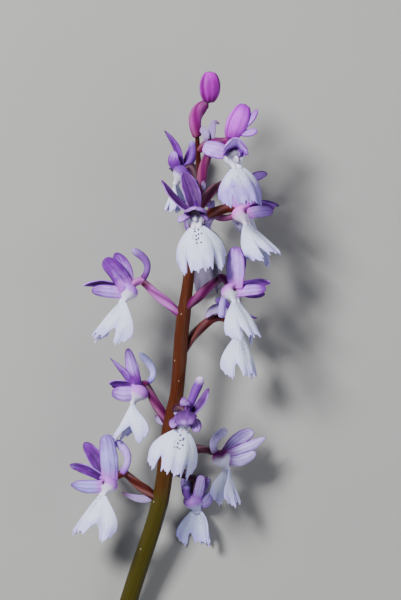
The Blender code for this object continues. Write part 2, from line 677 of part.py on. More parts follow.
def stalk_line(flower):
    """The ovary's line from the stem's middle to its knot, or to the heart, which it enters from behind."""
    foot, _ = stem_at(flower.foot)
    end = Vector(flower.heart) + Vector(flower.knot or (0.0, 0.0, 0.0))
    reach = (end - foot).length
    outward = (end - foot).normalized()
    arch = Vector((0.0, flower.bow, 0.0))
    behind = arch - outward if flower.knot else own_axes(flower) @ direction(180 - flower.rise)
    handle = foot + (outward + arch) * (0.35 * reach)
    return follow(bezier(foot, handle, end + behind * (0.4 * reach), end), (0, -1, 0.2))


def neck(flower, line):
    """What leads from the ovary to the heart, by way of the knot where there is one."""
    radius = STALK_RADIUS * stalk_share(0.95)
    if not flower.knot:
        return [tube(stretch(line, neck_at(line), 1.0, 4), lambda share: radius, 6, 1)]
    heart = Vector(flower.heart)
    knot = heart + Vector(flower.knot)
    way = follow([knot.lerp(heart, index / 4) for index in range(5)], (0.3, 0.2, 1.0))
    return [ball(knot, KNOT_RADIUS), tube(way, lambda share: radius, 6, 1)]


def throat_radius(share):
    """The throat narrows towards the lip, and is drawn in behind the heart."""
    return THROAT_RADIUS * 0.7 if share < 0.1 else THROAT_RADIUS + (THROAT_MOUTH - THROAT_RADIUS) * share


def perianth(flower, line):
    """Sepals, petals, spur, column and throat round the heart, with what leads to the ovary."""
    heart = Vector(flower.heart)
    sepals = (
        flower.top or turned(TYPICAL_TOP, flower),
        flower.right or turned(TYPICAL_RIGHT, flower),
        flower.left or turned(TYPICAL_LEFT, flower),
    )
    petals = (
        flower.right_petal or turned(TYPICAL_RIGHT_PETAL, flower),
        flower.left_petal or turned(TYPICAL_LEFT_PETAL, flower),
    )
    spur = flower.spur or turned(TYPICAL_SPUR, flower)
    spur_line = follow(organ_line(heart, spur), (0.3, 0.2, 1.0))
    throat = tube(walk((0, 0, 0), THROAT_LENGTH, THROAT_LEAN, 0), throat_radius, 8, 3)
    column_line = walk((0, 0, 0), COLUMN_LENGTH + HEART_RADIUS, COLUMN_LEAN, 0)
    column = tube(column_line, lambda share: COLUMN_RADIUS * (1.15 - 0.4 * share), 5, 1)
    for part in (throat, column):
        part.data.transform(placing(flower))
    spur_body = tube(spur_line, lambda share: spur.radius * spur_share(share), 6, 5)
    blades = [(sepal, 4) for sepal in sepals] + [(petal, 3) for petal in petals]
    sheets = []
    for blade, rows in blades:
        sheets.append(blade_solid(follow(organ_line(heart, blade), blade.face), blade, rows))
    return fused([ball(heart, HEART_RADIUS), *neck(flower, line), throat, column, spur_body, *sheets])


def bract_solid(root, middle, tip, face):
    """A narrow papery leaf at the foot of a stalk."""
    blade = Blade((0.0, 0.0, 0.0), width=2.0, cup=-0.3, widest=0.3, point=0.9)
    return blade_solid(follow(bowed(root, middle, tip), face), blade, 3)


def free_sepal(root, middle, tip):
    """A sepal of a bud that has come free, round at its tip."""
    blade = Blade((0.0, 0.0, 0.0), width=2.2, cup=-0.3, widest=0.65)
    return blade_solid(follow(bowed(root, middle, tip), (-0.6, 0.3, 1.0)), blade, 3)


def stalk(line, end, bract_length, stem_cutter):
    """The twisted, ribbed ovary with its bract, cut to fit round the stem."""
    way = stretch(line, 0.0, end)
    ovary = tube(way, lambda share: STALK_RADIUS * stalk_share(share), 6, 4, STALK_RIB, STALK_TWIST)
    body = ovary
    if bract_length:
        point, along, _, _ = frame_at(line, 0.16)
        down = (Vector((0, -1, 0)) + along * along.y).normalized()
        root = point + down * 0.15
        middle = root + (along * 0.8 + down).normalized() * (bract_length * 0.5)
        tip = root + (along + down * 0.55).normalized() * bract_length
        body = fused([ovary, bract_solid(root, middle, tip, (0.0, 0.3, 1.0))])
    cut(body, stem_cutter)
    return body


def neck_at(line):
    """The share of the ovary's line at which the neck behind the heart begins."""
    return 1 - (HEART_RADIUS + NECK_LENGTH) / line_length(line)


def ovary_end(flower, line):
    """The share of the ovary's line at which the ovary itself ends, a gap before the knot or the neck."""
    if flower.knot:
        return 1 - (KNOT_RADIUS + SEAT_GAP) / line_length(line)
    return neck_at(line) - SEAT_GAP / line_length(line)


def bud_share(share):
    """A bud is blunt at its foot, fullest in its middle and rounded at its tip."""
    return max(math.sin(math.pi * (0.06 + 0.88 * share)), 0.0) ** 0.34


def closed_bud(bud, grow=0.0):
    """The closed part of a bud, larger all round by grow where it serves as a cutter."""
    foot, tip = Vector(bud.foot), Vector(bud.tip)
    past = (tip - foot).normalized() * grow
    line = follow([(foot - past).lerp(tip + past, index / 8) for index in range(9)], (0, 0, 1))
    return tube(line, lambda share: bud.width / 2 * bud_share(share) + grow, 9, 6, 0.07, 25)


def bud_body(bud):
    """A bud, with the sepals that have come free of it."""
    foot, tip = Vector(bud.foot), Vector(bud.tip)
    pieces = [closed_bud(bud)]
    for root, end in bud.sepals:
        start, stop = Vector(root), Vector(end)
        inner = start.lerp(foot.lerp(tip, 0.3), 0.5)
        pieces.append(free_sepal(inner, start.lerp(stop, 0.4), stop))
    return fused(pieces) if len(pieces) > 1 else pieces[0]


def bud_stalk(bud, stem_cutter):
    """The stalk of a bud, with its bract."""
    start, _ = stem_at(bud.stem_foot)
    foot = Vector(bud.foot)
    line = follow(bezier(start, Vector(bud.handle), Vector(bud.end_handle), foot), (0, 0, 1))
    pieces = [tube(line, lambda share: bud.stalk_radius * stalk_share(share), 6, 6, STALK_RIB, STALK_TWIST)]
    pieces += [bract_solid(*(Vector(corner) for corner in bract), (-0.3, 0.2, 1)) for bract in bud.bracts]
    body = fused(pieces)
    cut(body, stem_cutter)
    bud_cutter = closed_bud(bud, SEAT_GAP)
    cut(body, bud_cutter)
    bpy.data.objects.remove(bud_cutter)
    return body


def finish(name, colour, roughness):
    """A plain matt finish."""
    material = bpy.data.materials.new(name)
    material.use_nodes = True
    shader = material.node_tree.nodes["Principled BSDF"]
    shader.inputs["Base Color"].default_value = (*colour, 1.0)
    shader.inputs["Roughness"].default_value = roughness
    shader.inputs["Metallic"].default_value = 0.0
    return material


def main():
    """Builds the spike."""
    for obj in list(bpy.data.objects):
        bpy.data.objects.remove(obj)
    stem_finish = finish("stem", (0.20, 0.065, 0.03), 0.45)
    stalk_finish = finish("stalk", (0.50, 0.12, 0.30), 0.45)
    petal_finish = finish("petals", (0.42, 0.20, 0.62), 0.5)
    lip_finish = finish("lip", (0.82, 0.82, 0.92), 0.55)
    bud_finish = finish("bud", (0.55, 0.04, 0.60), 0.5)
    stem_cutter = stem_tube(SEAT_GAP, SEAT_GAP)
    for number, flower in enumerate(FLOWERS, 1):
        line = stalk_line(flower)
        end = ovary_end(flower, line)
        finished(perianth(flower, line), f"flower_{number:02d}_petals", petal_finish)
        lip = lip_solid(flower.lip)
        lip.data.transform(placing(flower))
        finished(lip, f"flower_{number:02d}_lip", lip_finish)
        finished(stalk(line, end, flower.bract, stem_cutter), f"flower_{number:02d}_stalk", stalk_finish)
    for number, bud in enumerate(BUDS, 1):
        finished(bud_body(bud), f"bud_{number:02d}", bud_finish)
        finished(bud_stalk(bud, stem_cutter), f"bud_{number:02d}_stalk", stalk_finish)
    bpy.data.objects.remove(stem_cutter)
    finished(stem_tube(), "stem", stem_finish)


main()
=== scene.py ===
"""Looks of the cut orchid spike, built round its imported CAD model.

The spike lies on its back: the stem runs along Y with its cut end at -Y, and +Z is up from the
surface. Sizes are written in millimetres and angles in degrees, and each mesh becomes metres when
it is finished. The lines of the stem, the stalks, the sepals and the lips are those of the CAD
model, so each piece lies where its node does.

Sepals, petals and spurs are given by where their tips stand from the heart of the flower, along
the spike's own axes. A line that hangs or rises in a flower starts with a lean, which is 0 when it
runs forward out of the flower's mouth, 90 when it runs up and -90 when it runs down.
"""

import logging
import math
from dataclasses import dataclass, replace
from enum import Enum
from random import Random
from typing import Callable, NamedTuple

import bpy
from mathutils import Matrix, Vector


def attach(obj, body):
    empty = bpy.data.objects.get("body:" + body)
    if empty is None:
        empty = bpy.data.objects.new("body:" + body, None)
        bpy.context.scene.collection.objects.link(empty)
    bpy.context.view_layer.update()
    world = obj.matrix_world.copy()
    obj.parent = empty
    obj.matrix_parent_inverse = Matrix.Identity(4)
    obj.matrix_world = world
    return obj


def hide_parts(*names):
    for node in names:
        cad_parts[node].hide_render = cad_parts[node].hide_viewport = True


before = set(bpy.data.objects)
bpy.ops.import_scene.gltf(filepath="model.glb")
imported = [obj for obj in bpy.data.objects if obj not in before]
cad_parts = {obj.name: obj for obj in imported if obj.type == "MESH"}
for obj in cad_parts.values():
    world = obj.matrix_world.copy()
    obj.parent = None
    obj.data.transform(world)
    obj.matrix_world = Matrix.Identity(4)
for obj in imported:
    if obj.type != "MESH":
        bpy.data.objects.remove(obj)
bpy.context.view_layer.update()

LOG = logging.getLogger("orchid_spike")
METRES = 0.001
LINE_STEPS = 24

# How much richer the colours are made, how glossy every finish is, how far light goes on inside soft
# tissue and how much of its red, green and blue does, and where a speck's edge starts.
RICHER = 1.25
SHEEN = 0.14
GLOW_REACH = 0.8
GLOW_SHARES = (1.0, 0.7, 0.9)
SPECK_EDGE = 0.55

Colour = tuple[float, float, float]
Point = tuple[float, float, float]
Marks = dict[str, Callable[[float, float], float]]


class Slot(Enum):
    """The record's material slots."""

    STEM = "stem"
    STALK = "stalk"
    PETALS = "petals"
    LIP = "lip"
    BUD = "bud"


def tone(red: int, green: int, blue: int) -> Colour:
    """A colour as the eye reads it on a screen, 0 to 255 a channel, made linear.

    It is made richer too, because bright soft light takes some of the colour away.

    Args:
        red: How much red.
        green: How much green.
        blue: How much blue.

    Returns:
        The colour.
    """
    shares = [channel / 255 for channel in (red, green, blue)]
    linear = [share / 12.92 if share < 0.04045 else ((share + 0.055) / 1.055) ** 2.4 for share in shares]
    grey = sum(linear) / 3
    return tuple(min(max(grey + (share - grey) * RICHER, 0.004), 0.95) for share in linear)


def smooth_step(low: float, high: float, value: float) -> float:
    """0 below low, 1 above high, and an easy curve between."""
    share = min(max((value - low) / (high - low), 0.0), 1.0)
    return share * share * (3 - 2 * share)


def bell(centre: float, width: float, value: float) -> float:
    """1 at the centre, falling away softly over the width."""
    return math.exp(-(((value - centre) / width) ** 2))


# Sizes that every flower shares


# A hood's arch is how far it turns round from its middle to its rim, in radians.
ROOT_DEPTH = 0.5
THROAT_LEAN = -62.0
THROAT_LENGTH = 3.1
HOOD_ARCH = 1.2
COLUMN_LEAN = 8.0
COLUMN_LENGTH = 1.5
COLUMN_RADIUS = 0.8
STALK_RADIUS = 1.15
STALK_RIB = 0.14
STALK_TWIST = 150.0
LIP_START = THROAT_LENGTH + 0.45
LIP_LENGTH = 12.0
LIP_NECK = 1.8
LIP_HALF_WIDTH = 7.8

# Half of the lip's edge, each place by its share of the half width at the neck and at the edge, and
# by how far down it reaches. Each lip sets how far up the deep notch between these two lobes goes.
MIDDLE_LOBE = ((0.00, 0.00, 0.91), (0.10, 0.12, 1.00), (0.19, 0.22, 0.93), (0.28, 0.34, 0.98))
NOTCH_PLACE = (0.40, 0.45)
SIDE_LOBE = (
    (0.51, 0.57, 0.95), (0.58, 0.64, 1.00), (0.72, 0.73, 0.92), (0.86, 0.87, 0.84), (1.00, 1.00, 0.66),
)

# The stem's middle line and radius, from the cut end to the topmost stalk.
STEM = (
    (-19.0, -77.6, 2.1, 2.2),
    (-10.4, -50.0, 6.6, 2.2),
    (-3.9, -29.1, 11.3, 2.1),
    (-1.5, -11.3, 14.6, 1.95),
    (0.4, -1.2, 16.0, 1.75),
    (1.6, 13.9, 17.3, 1.8),
    (3.2, 26.4, 18.5, 1.4),
    (4.6, 38.0, 19.6, 1.1),
    (5.9, 50.0, 21.0, 0.75),
    (5.6, 58.7, 21.8, 0.6),
    (5.4, 62.4, 22.3, 0.55),
)


@dataclass(frozen=True)
class Blade:
    """A sepal or petal.

    It has its tip, how far its middle stands off the straight line, and where its inner side looks. Foot
    is its width where it starts, as a share of its full width, and root is how far off the heart it starts.
    A hood is arched round across, where the others are only cupped.
    """

    tip: Point
    bend: Point = (0.0, 0.0, 0.0)
    face: Point = (0.0, 0.0, 1.0)
    width: float = 3.4
    cup: float = 0.25
    widest: float = 0.5
    point: float = 0.5
    foot: float = 0.5
    root: Point = (0.0, 0.0, 0.0)
    hood: bool = False


@dataclass(frozen=True)
class Spur:
    """The hollow horn behind a flower."""

    tip: Point
    bend: Point = (0.0, 0.0, 0.0)
    radius: float = 0.9
    root: Point = (0.0, 0.0, 0.0)


@dataclass(frozen=True)
class Hang:
    """The lip's hang: its lean at the neck, its curl, and the radius it arches to.

    Droop is how much more both side lobes lean, and swing is added to it for the right one and taken from
    it for the left one. Notch is how far down the deep notches start.
    """

    lean: float = -56.0
    curl: float = -22.0
    arch: float = 5.6
    size: float = 1.0
    droop: float = 12.0
    swing: float = 0.0
    notch: float = 0.6


# The sepals and petals of a flower that gives none of its own, on the flower's own axes.
TYPICAL_BLADES = {
    "top": Blade((0.0, 4.2, 9.0), (0.0, 1.3, 0.0), (0.0, -1.0, 0.2)),
    "right": Blade((3.0, 11.0, 0.0), (0.8, 0.4, -0.6), (-1.0, 0.0, 0.3), 4.4),
    "left": Blade((-3.0, 11.0, 0.0), (-0.8, 0.4, -0.6), (1.0, 0.0, 0.3), 4.4),
    "right_petal": Blade((1.6, 1.0, 8.6), (1.0, 0.6, 0.0), (-1.0, -0.4, 0.0), 2.8),
    "left_petal": Blade((-1.6, 1.0, 8.6), (-1.0, 0.6, 0.0), (1.0, -0.4, 0.0), 2.8),
}
TYPICAL_SPUR = Spur((0.0, 10.6, -1.0), (0.0, 0.2, -3.2))


@dataclass(frozen=True)
class Bloom:
    """One open flower: where its heart is, where it looks, where its stalk leaves the stem, and its parts.

    Rise is how steeply the ovary comes up to the heart from behind, and bow how far it arches. A knot,
    where there is one, is where the ovary ends off the heart, and takes the place of the rise. Bract is how
    long the leaf at the ovary's foot is, and 0 where it has withered away.
    """

    heart: Point
    yaw: float
    foot: float
    roll: float = 0.0
    rise: float = 20.0
    knot: Point | None = None
    bow: float = 0.5
    top: Blade | None = None
    right: Blade | None = None
    left: Blade | None = None
    right_petal: Blade | None = None
    left_petal: Blade | None = None
    spur: Spur | None = None
    lip: Hang = Hang()
    bract: float = 3.2


# From the lowest flower to the topmost one.
BLOOMS = (
    Bloom(
        (-17.0, -24.4, 14.0), -62, -29.6, knot=(4.1, 2.3, -1.0), bow=0.0,
        top=Blade((-9.6, 4.2, 0.0), (-0.3, 1.0, 0.0), (0.0, -0.7, 0.7), 3.4, foot=0.7),
        right=Blade(
            (-0.5, 12.1, 2.2), (0.5, 0.0, 0.3), (-0.3, 0.0, -1.0),
            4.7, point=0.3, foot=0.9, root=(0.5, -0.4, 1.0),
        ),
        left=Blade((-6.2, 9.8, -3.0), (0.5, 0.3, -0.8), (0.0, 0.0, 1.0), 4.0),
        right_petal=Blade(
            (-9.3, -0.5, 1.5), (0.2, -0.2, 0.2), (0.0, 0.3, -1.0),
            3.6, point=0.7, foot=0.9, root=(-0.8, -1.0, 0.9),
        ),
        left_petal=Blade((-8.6, 3.4, -1.5), (-0.2, 0.8, 0.0), (0.0, -0.7, 0.7), 2.4),
        spur=Spur((1.6, 10.4, -1.4), (2.6, 0.4, 0.6), 1.0, root=(2.9, 1.6, -0.6)),
        lip=Hang(-46, -12, 4.6, 1.02, 8, 8), bract=8.4,
    ),
    Bloom(
        (4.4, -29.2, 4.3), 146, -20.0, knot=(0.4, 4.8, -0.9), bow=0.0,
        top=Blade((3.6, 5.4, -3.0), (0.5, 0.0, 0.0), (-1.0, 0.2, 0.0), 2.6),
        right=Blade((-2.2, 5.6, -2.6), (-0.6, 0.0, 0.0), (0.0, 0.2, -1.0), 2.8),
        left=Blade(
            (2.0, 6.0, 1.4), (0.2, 0.0, 0.6), (0.3, 0.0, -1.0),
            2.8, point=0.3, foot=0.8, root=(0.2, -1.2, 1.2),
        ),
        right_petal=Blade((4.2, 5.0, -2.0), (0.5, -0.4, 0.0), (-0.6, 0.2, -0.6), 2.2),
        left_petal=Blade(
            (4.3, 1.8, 0.6), (0.6, -1.3, 0.6), (0.2, 0.4, -1.0), 3.4, foot=0.6, root=(0.3, -0.4, 0.3),
        ),
        spur=Spur((-1.8, 3.6, 2.8), (-0.6, 0.0, 0.4), 0.95, root=(-0.6, -0.6, 0.2)),
        lip=Hang(-66, -12, 4.8, 0.8, 8, -2),
    ),
    Bloom(
        (11.5, -18.0, 10.5), 108, -16.8, knot=(-2.4, 1.2, -1.2), bow=0.2,
        top=Blade((9.2, 3.4, 0.0), (0.3, 0.9, 0.0), (0.0, -0.8, 0.5), 2.8),
        right=Blade((8.2, 6.3, -1.5), (0.2, 0.6, 0.0), (0.0, 0.2, 1.0), 3.6, point=0.4),
        left=Blade(
            (11.4, 5.0, 1.5), (0.2, -0.6, 0.6), (0.0, 0.3, -1.0),
            3.0, point=0.9, foot=0.7, root=(0.2, 0.2, 0.9),
        ),
        right_petal=Blade((8.3, 2.6, -1.6), (0.2, -0.3, 0.0), (0.0, 0.2, 1.0), 2.4),
        left_petal=Blade(
            (8.6, 1.2, 1.6), (0.4, -1.3, 0.3), (0.0, 0.4, -1.0),
            3.2, point=0.4, foot=0.8, root=(0.6, -0.8, 0.6),
        ),
        spur=Spur((1.6, 6.7, 0.2), (-1.9, 0.3, 0.5), 1.05, root=(-1.1, 0.3, 0.2)),
        lip=Hang(-68, -6, 4.0, 0.84, 9, -6, 0.5),
    ),
    Bloom(
        (2.5, -7.8, 25.5), 10, -6.5, roll=-17, rise=50,
        top=Blade((0.0, -1.6, 5.0), (0.0, 2.4, 0.8), (0.0, -1.0, -0.3), 5.6, 0.5, point=0.3, hood=True),
        right=Blade((5.7, 7.3, -2.0), (0.6, -0.8, 0.0), (-0.8, 0.3, 0.6), 3.4),
        left=Blade((-1.1, 3.2, 3.0), (1.3, 2.3, -0.8), (-0.4, -0.8, -0.4), 3.2),
        right_petal=Blade((2.6, -3.4, 3.6), (0.9, 0.8, 0.4), (-0.3, -0.7, -0.9), 3.4, point=0.5),
        left_petal=Blade((-3.0, -2.4, 3.6), (-0.8, 0.8, 0.4), (0.3, -0.7, -0.9), 3.4, point=0.7),
        spur=Spur((4.1, 10.2, -4.0), (-0.1, 0.0, -1.2), 1.1),
        lip=Hang(-74, -14, 6.6, 1.0, 6),
    ),
    Bloom(
        (-9.2, -1.2, 14.5), -95, -11.0, knot=(1.6, 1.6, -1.2), bow=0.0,
        top=Blade((-7.6, 1.6, 0.0), (0.0, 0.9, 0.0), (0.0, -0.8, 0.6), 3.0, foot=0.7),
        right=Blade((-2.8, 10.5, 2.3), (-0.1, 0.2, 0.4), (-0.6, 0.0, -1.0), 3.4, root=(0.3, 0.4, 0.9)),
        left=Blade((-7.3, 8.0, -2.0), (0.7, -0.5, -0.4), (0.3, 0.4, 1.0), 2.6, widest=0.25, point=1.0),
        right_petal=Blade(
            (-6.8, -0.5, 1.7), (0.0, -0.3, 0.3), (0.0, 0.2, -1.0),
            4.0, point=0.4, foot=0.85, root=(0.2, -0.7, 0.9),
        ),
        left_petal=Blade((-7.0, 0.9, -1.6), (0.0, 0.6, 0.0), (0.0, -0.6, 0.8), 2.4),
        spur=Spur((0.0, 9.3, -0.5), (2.4, -0.6, -0.2), 0.9, root=(1.9, 1.7, -0.4)),
        lip=Hang(-60, -4, 4.0, 0.9, 14, 14, 0.5),
    ),
    Bloom(
        (14.9, 15.6, 13.5), 48, 6.6, knot=(-3.5, 1.5, -1.2), bow=0.6, bract=0.0,
        left=Blade(
            (-7.4, 1.2, 2.0), (-0.2, 2.8, 0.7), (0.0, 0.0, -1.0), 2.6, point=0.7, root=(-0.4, 0.0, 1.0),
        ),
        right=Blade((0.6, 7.2, -4.5), (0.3, 0.0, -0.8), (-0.7, 0.0, 0.7), 3.6),
        top=Blade((5.4, 1.2, 4.2), (0.0, 1.2, 0.0), (-0.1, -1.0, 0.2), 3.0),
        right_petal=Blade((5.2, -1.2, 3.0), (0.3, 0.5, 0.0), (0.0, -0.6, 0.8), 2.4),
        left_petal=Blade((3.0, -0.8, 5.2), (0.0, 0.5, 0.3), (0.0, 0.2, -1.0), 2.4),
        spur=Spur((-5.0, 5.4, -5.0), (0.5, 1.9, -0.9), 0.85),
        lip=Hang(-62, -14, 4.8, 0.96, 6, -2),
    ),
    Bloom(
        (13.8, 24.1, 26.0), 50, 18.9, knot=(-2.2, 3.1, -1.0), bow=0.08, bract=0.0,
        top=Blade((9.8, 1.5, 0.2), (0.4, 1.0, 0.2), (-0.1, -0.85, 0.6), 3.2, foot=0.7),
        left=Blade(
            (1.0, 10.4, 2.2), (0.2, 0.0, 0.4), (0.4, 0.0, -1.0),
            5.0, point=0.32, foot=0.8, root=(0.7, -0.3, 1.0),
        ),
        right=Blade((3.1, 8.4, -0.6), (0.4, 0.0, -0.5), (-0.5, 0.0, 0.9), 3.4),
        left_petal=Blade(
            (8.6, 0.0, 1.9), (0.2, 0.3, 0.2), (0.0, -0.4, -0.9),
            3.2, point=0.4, foot=0.8, root=(0.6, -0.8, 0.8),
        ),
        right_petal=Blade((8.4, -1.2, -1.0), (0.3, -0.3, 0.0), (0.0, 0.3, 1.0), 2.6),
        spur=Spur((-2.2, -7.2, -1.6), (-0.6, 0.0, -0.4), 0.9, root=(-0.8, -0.2, -0.8)),
        lip=Hang(-46, -14, 4.8, 0.94, 12, -12),
    ),
    Bloom(
        (-11.8, 24.1, 20.0), -60, 16.9, knot=(3.2, 2.3, -1.0), bow=0.0, bract=0.0,
        top=Blade((-11.2, 0.9, 0.2), (-0.3, 1.1, 0.2), (0.0, -0.85, 0.55), 3.0, point=0.8, foot=0.7),
        right=Blade(
            (-6.0, 7.4, 2.2), (0.4, 0.5, 0.4), (-0.4, -0.2, -1.0),
            4.8, point=0.32, foot=0.9, root=(0.2, -0.5, 1.0),
        ),
        left=Blade((-3.4, 9.0, -1.5), (0.8, 0.2, -0.8), (0.0, 0.0, 1.0), 4.2),
        right_petal=Blade(
            (-9.0, -0.2, 1.8), (0.0, -0.1, 0.2), (0.0, 0.3, -1.0),
            3.4, point=0.4, foot=0.9, root=(-0.8, -1.0, 0.9),
        ),
        left_petal=Blade((-8.8, 0.9, -1.5), (-0.2, 0.6, 0.0), (0.0, -0.7, 0.7), 2.2),
        spur=Spur((0.7, 9.9, -1.0), (2.6, 0.6, -0.5), 0.95, root=(3.2, 1.9, -0.8)),
        lip=Hang(-42, -12, 4.8, 1.0, 6, 3),
    ),
    Bloom(
        (6.6, 35.6, 8.8), 172, 27.0,
        right=Blade((-3.4, 6.6, 0.8), (-0.8, 0.3, 0.4), (0.3, 0.0, 0.9), 3.6),
        lip=Hang(-66, -14, 5.0, 0.82, 8),
    ),
    Bloom(
        (4.9, 42.5, 31.0), -3, 36.0, roll=8, rise=20,
        top=Blade((0.0, 0.5, 5.4), (0.0, 1.4, 0.3), (0.0, -1.0, -0.3), 5.8, 0.65, point=0.22, hood=True),
        right=Blade((-3.0, 10.4, -2.5), (0.7, 0.0, -0.4), (0.2, 0.1, 1.0), 4.4),
        left=Blade((-8.2, 8.4, -1.5), (-0.4, -1.0, 0.0), (0.6, 0.5, 0.6), 3.0, point=0.8),
        right_petal=Blade((2.8, -1.8, 4.2), (0.8, 0.6, 0.3), (-0.7, -0.6, -0.4), 2.6),
        left_petal=Blade((-3.5, -2.2, 4.0), (-0.8, 0.6, 0.3), (0.5, -0.5, -0.7), 3.2),
        spur=Spur((-0.5, 8.6, -6.0), (0.5, 1.0, -0.2), 0.95),
        lip=Hang(-70, -14, 6.6, 1.0, 8, 0, 0.58),
    ),
    Bloom(
        (16.5, 43.5, 18.5), 58, 40.4, rise=25,
        top=Blade((9.4, 1.4, 0.0), (0.0, 1.7, 0.0), (-0.1, -1.0, 0.3), 3.2, foot=0.7),
        left=Blade((-3.4, 8.2, 1.0), (-0.4, 0.0, 0.4), (0.3, 0.0, -1.0), 4.2),
        right=Blade((2.2, 7.0, -2.0), (0.3, 0.0, -0.6), (-0.5, 0.0, 0.9), 3.6),
        left_petal=Blade(
            (7.8, 0.0, 1.9), (0.0, 0.4, 0.2), (0.0, 0.2, -1.0),
            3.0, point=0.3, foot=0.9, root=(0.8, -0.8, 0.8),
        ),
        right_petal=Blade((8.4, 0.9, -1.5), (0.2, 0.9, 0.0), (0.0, -0.6, 0.8), 2.4),
        spur=Spur((-6.8, -1.0, -3.0), (0.0, -0.9, -0.5), 0.85),
        lip=Hang(-36, -8, 4.2, 1.0, 12, -12),
    ),
    Bloom(
        (1.6, 54.1, 9.6), -105, 46.0, rise=30,
        top=Blade((-3.0, 1.0, -9.6), (0.0, 0.8, 0.0), (0.2, -1.0, 0.0), 2.8),
        right=Blade((2.6, 6.8, -4.2), (0.6, 0.0, -0.6), (0.0, 0.0, 1.0), 3.0),
        left=Blade((-4.5, 10.3, -1.0), (0.9, 0.3, 0.0), (0.4, 0.3, 1.0), 2.0, point=0.9),
        right_petal=Blade((0.6, 0.4, -6.2), (0.4, 0.4, 0.0), (-1.0, -0.3, 0.0), 2.4),
        left_petal=Blade((-1.8, 4.8, 1.6), (-1.2, -0.6, 0.8), (0.4, 0.0, -1.0), 3.2, point=0.4),
        spur=Spur((2.2, 7.6, -1.0), (1.4, 0.0, 0.4), 0.9),
        lip=Hang(-64, -12, 3.4, 0.66, 6, 0),
    ),
    Bloom(
        (16.4, 50.0, 10.5), 96, 43.4,
        top=Blade((6.8, 3.3, -1.0), (0.0, 0.8, 0.0), (0.0, -0.3, 1.0), 2.4),
        right=Blade((-2.4, 4.6, -3.0), (-0.4, 0.0, -0.6), (0.0, 0.0, 1.0), 3.2),
        left=Blade((-1.4, 4.2, 1.0), (-0.3, 0.0, 0.6), (0.0, 0.0, -1.0), 3.2),
        right_petal=Blade((4.2, 0.6, -2.0), (0.0, 0.3, 0.0), (0.0, -0.4, 0.8), 2.2),
        left_petal=Blade((4.0, 0.2, 1.4), (0.0, 0.3, 0.0), (0.0, 0.2, -1.0), 2.2),
        spur=Spur((-0.8, 6.0, -1.0), (-1.2, 0.4, 0.0), 0.9),
        lip=Hang(-70, -12, 3.4, 0.76, 10),
    ),
    Bloom(
        (14.3, 57.0, 29.0), 18, 46.5, roll=8, knot=(-5.8, 1.2, -2.5), bow=0.4,
        top=Blade((0.5, 3.4, 5.0), (0.0, 0.9, 0.0), (0.0, -1.0, -0.1), 6.2, 1.1, point=0.2, hood=True),
        right=Blade((2.0, 2.5, -7.6), (0.0, 0.8, 0.0), (0.0, 1.0, 0.0), 3.6),
        left=Blade((-7.4, 2.2, -2.0), (-0.3, 0.2, 0.6), (0.0, 0.2, 1.0), 4.4, point=0.35),
        right_petal=Blade((1.7, 0.6, 3.6), (0.7, 0.3, 0.0), (-1.0, -0.3, -0.2), 1.8),
        left_petal=Blade((-1.4, 0.6, 3.6), (-0.7, 0.3, 0.0), (1.0, -0.3, -0.2), 1.8),
        spur=Spur((-1.4, 0.8, -8.5), (0.2, 0.8, 0.0), 0.9),
        lip=Hang(-54, -20, 6.4, 0.9, 4, 6, 0.66),
    ),
)


@dataclass(frozen=True)
class Bud:
    """A bud on its stalk: its foot and tip, its width, and how its stalk leaves the stem."""

    foot: Point
    tip: Point
    width: float
    stem_foot: float
    handle: Point
    end_handle: Point
    bracts: tuple[tuple[Point, Point, Point], ...]
    sepals: tuple[tuple[Point, Point], ...] = ()
    stalk_radius: float = 1.1


BUDS = (
    Bud(
        (13.3, 61.2, 24.0), (17.5, 69.8, 25.5), 5.4, 58.2, (7.6, 61.0, 22.6), (10.6, 60.4, 23.4),
        (((9.2, 60.5, 22.9), (8.4, 67.0, 24.0), (11.0, 65.0, 25.0)),),
        (((17.2, 63.2, 25.2), (20.3, 68.6, 26.4)), ((15.6, 61.9, 25.0), (20.4, 63.3, 26.0))),
    ),
    Bud(
        (8.3, 70.2, 24.0), (8.7, 78.0, 25.0), 5.2, 62.8, (4.2, 66.0, 22.6), (5.6, 70.0, 23.4),
        (((6.0, 64.0, 23.1), (8.5, 63.2, 24.0), (7.2, 59.8, 24.4)),), (), 1.6,
    ),
)


# Lines that the parts grow along


class Frame(NamedTuple):
    """A place on a line: the point, the way on, the side and the inner face."""

    point: Vector
    along: Vector
    side: Vector
    face: Vector


def direction(lean: float) -> Vector:
    """The way that a line of a flower runs, on the flower's own axes."""
    angle = math.radians(lean)
    return Vector((0.0, math.sin(angle), math.cos(angle)))


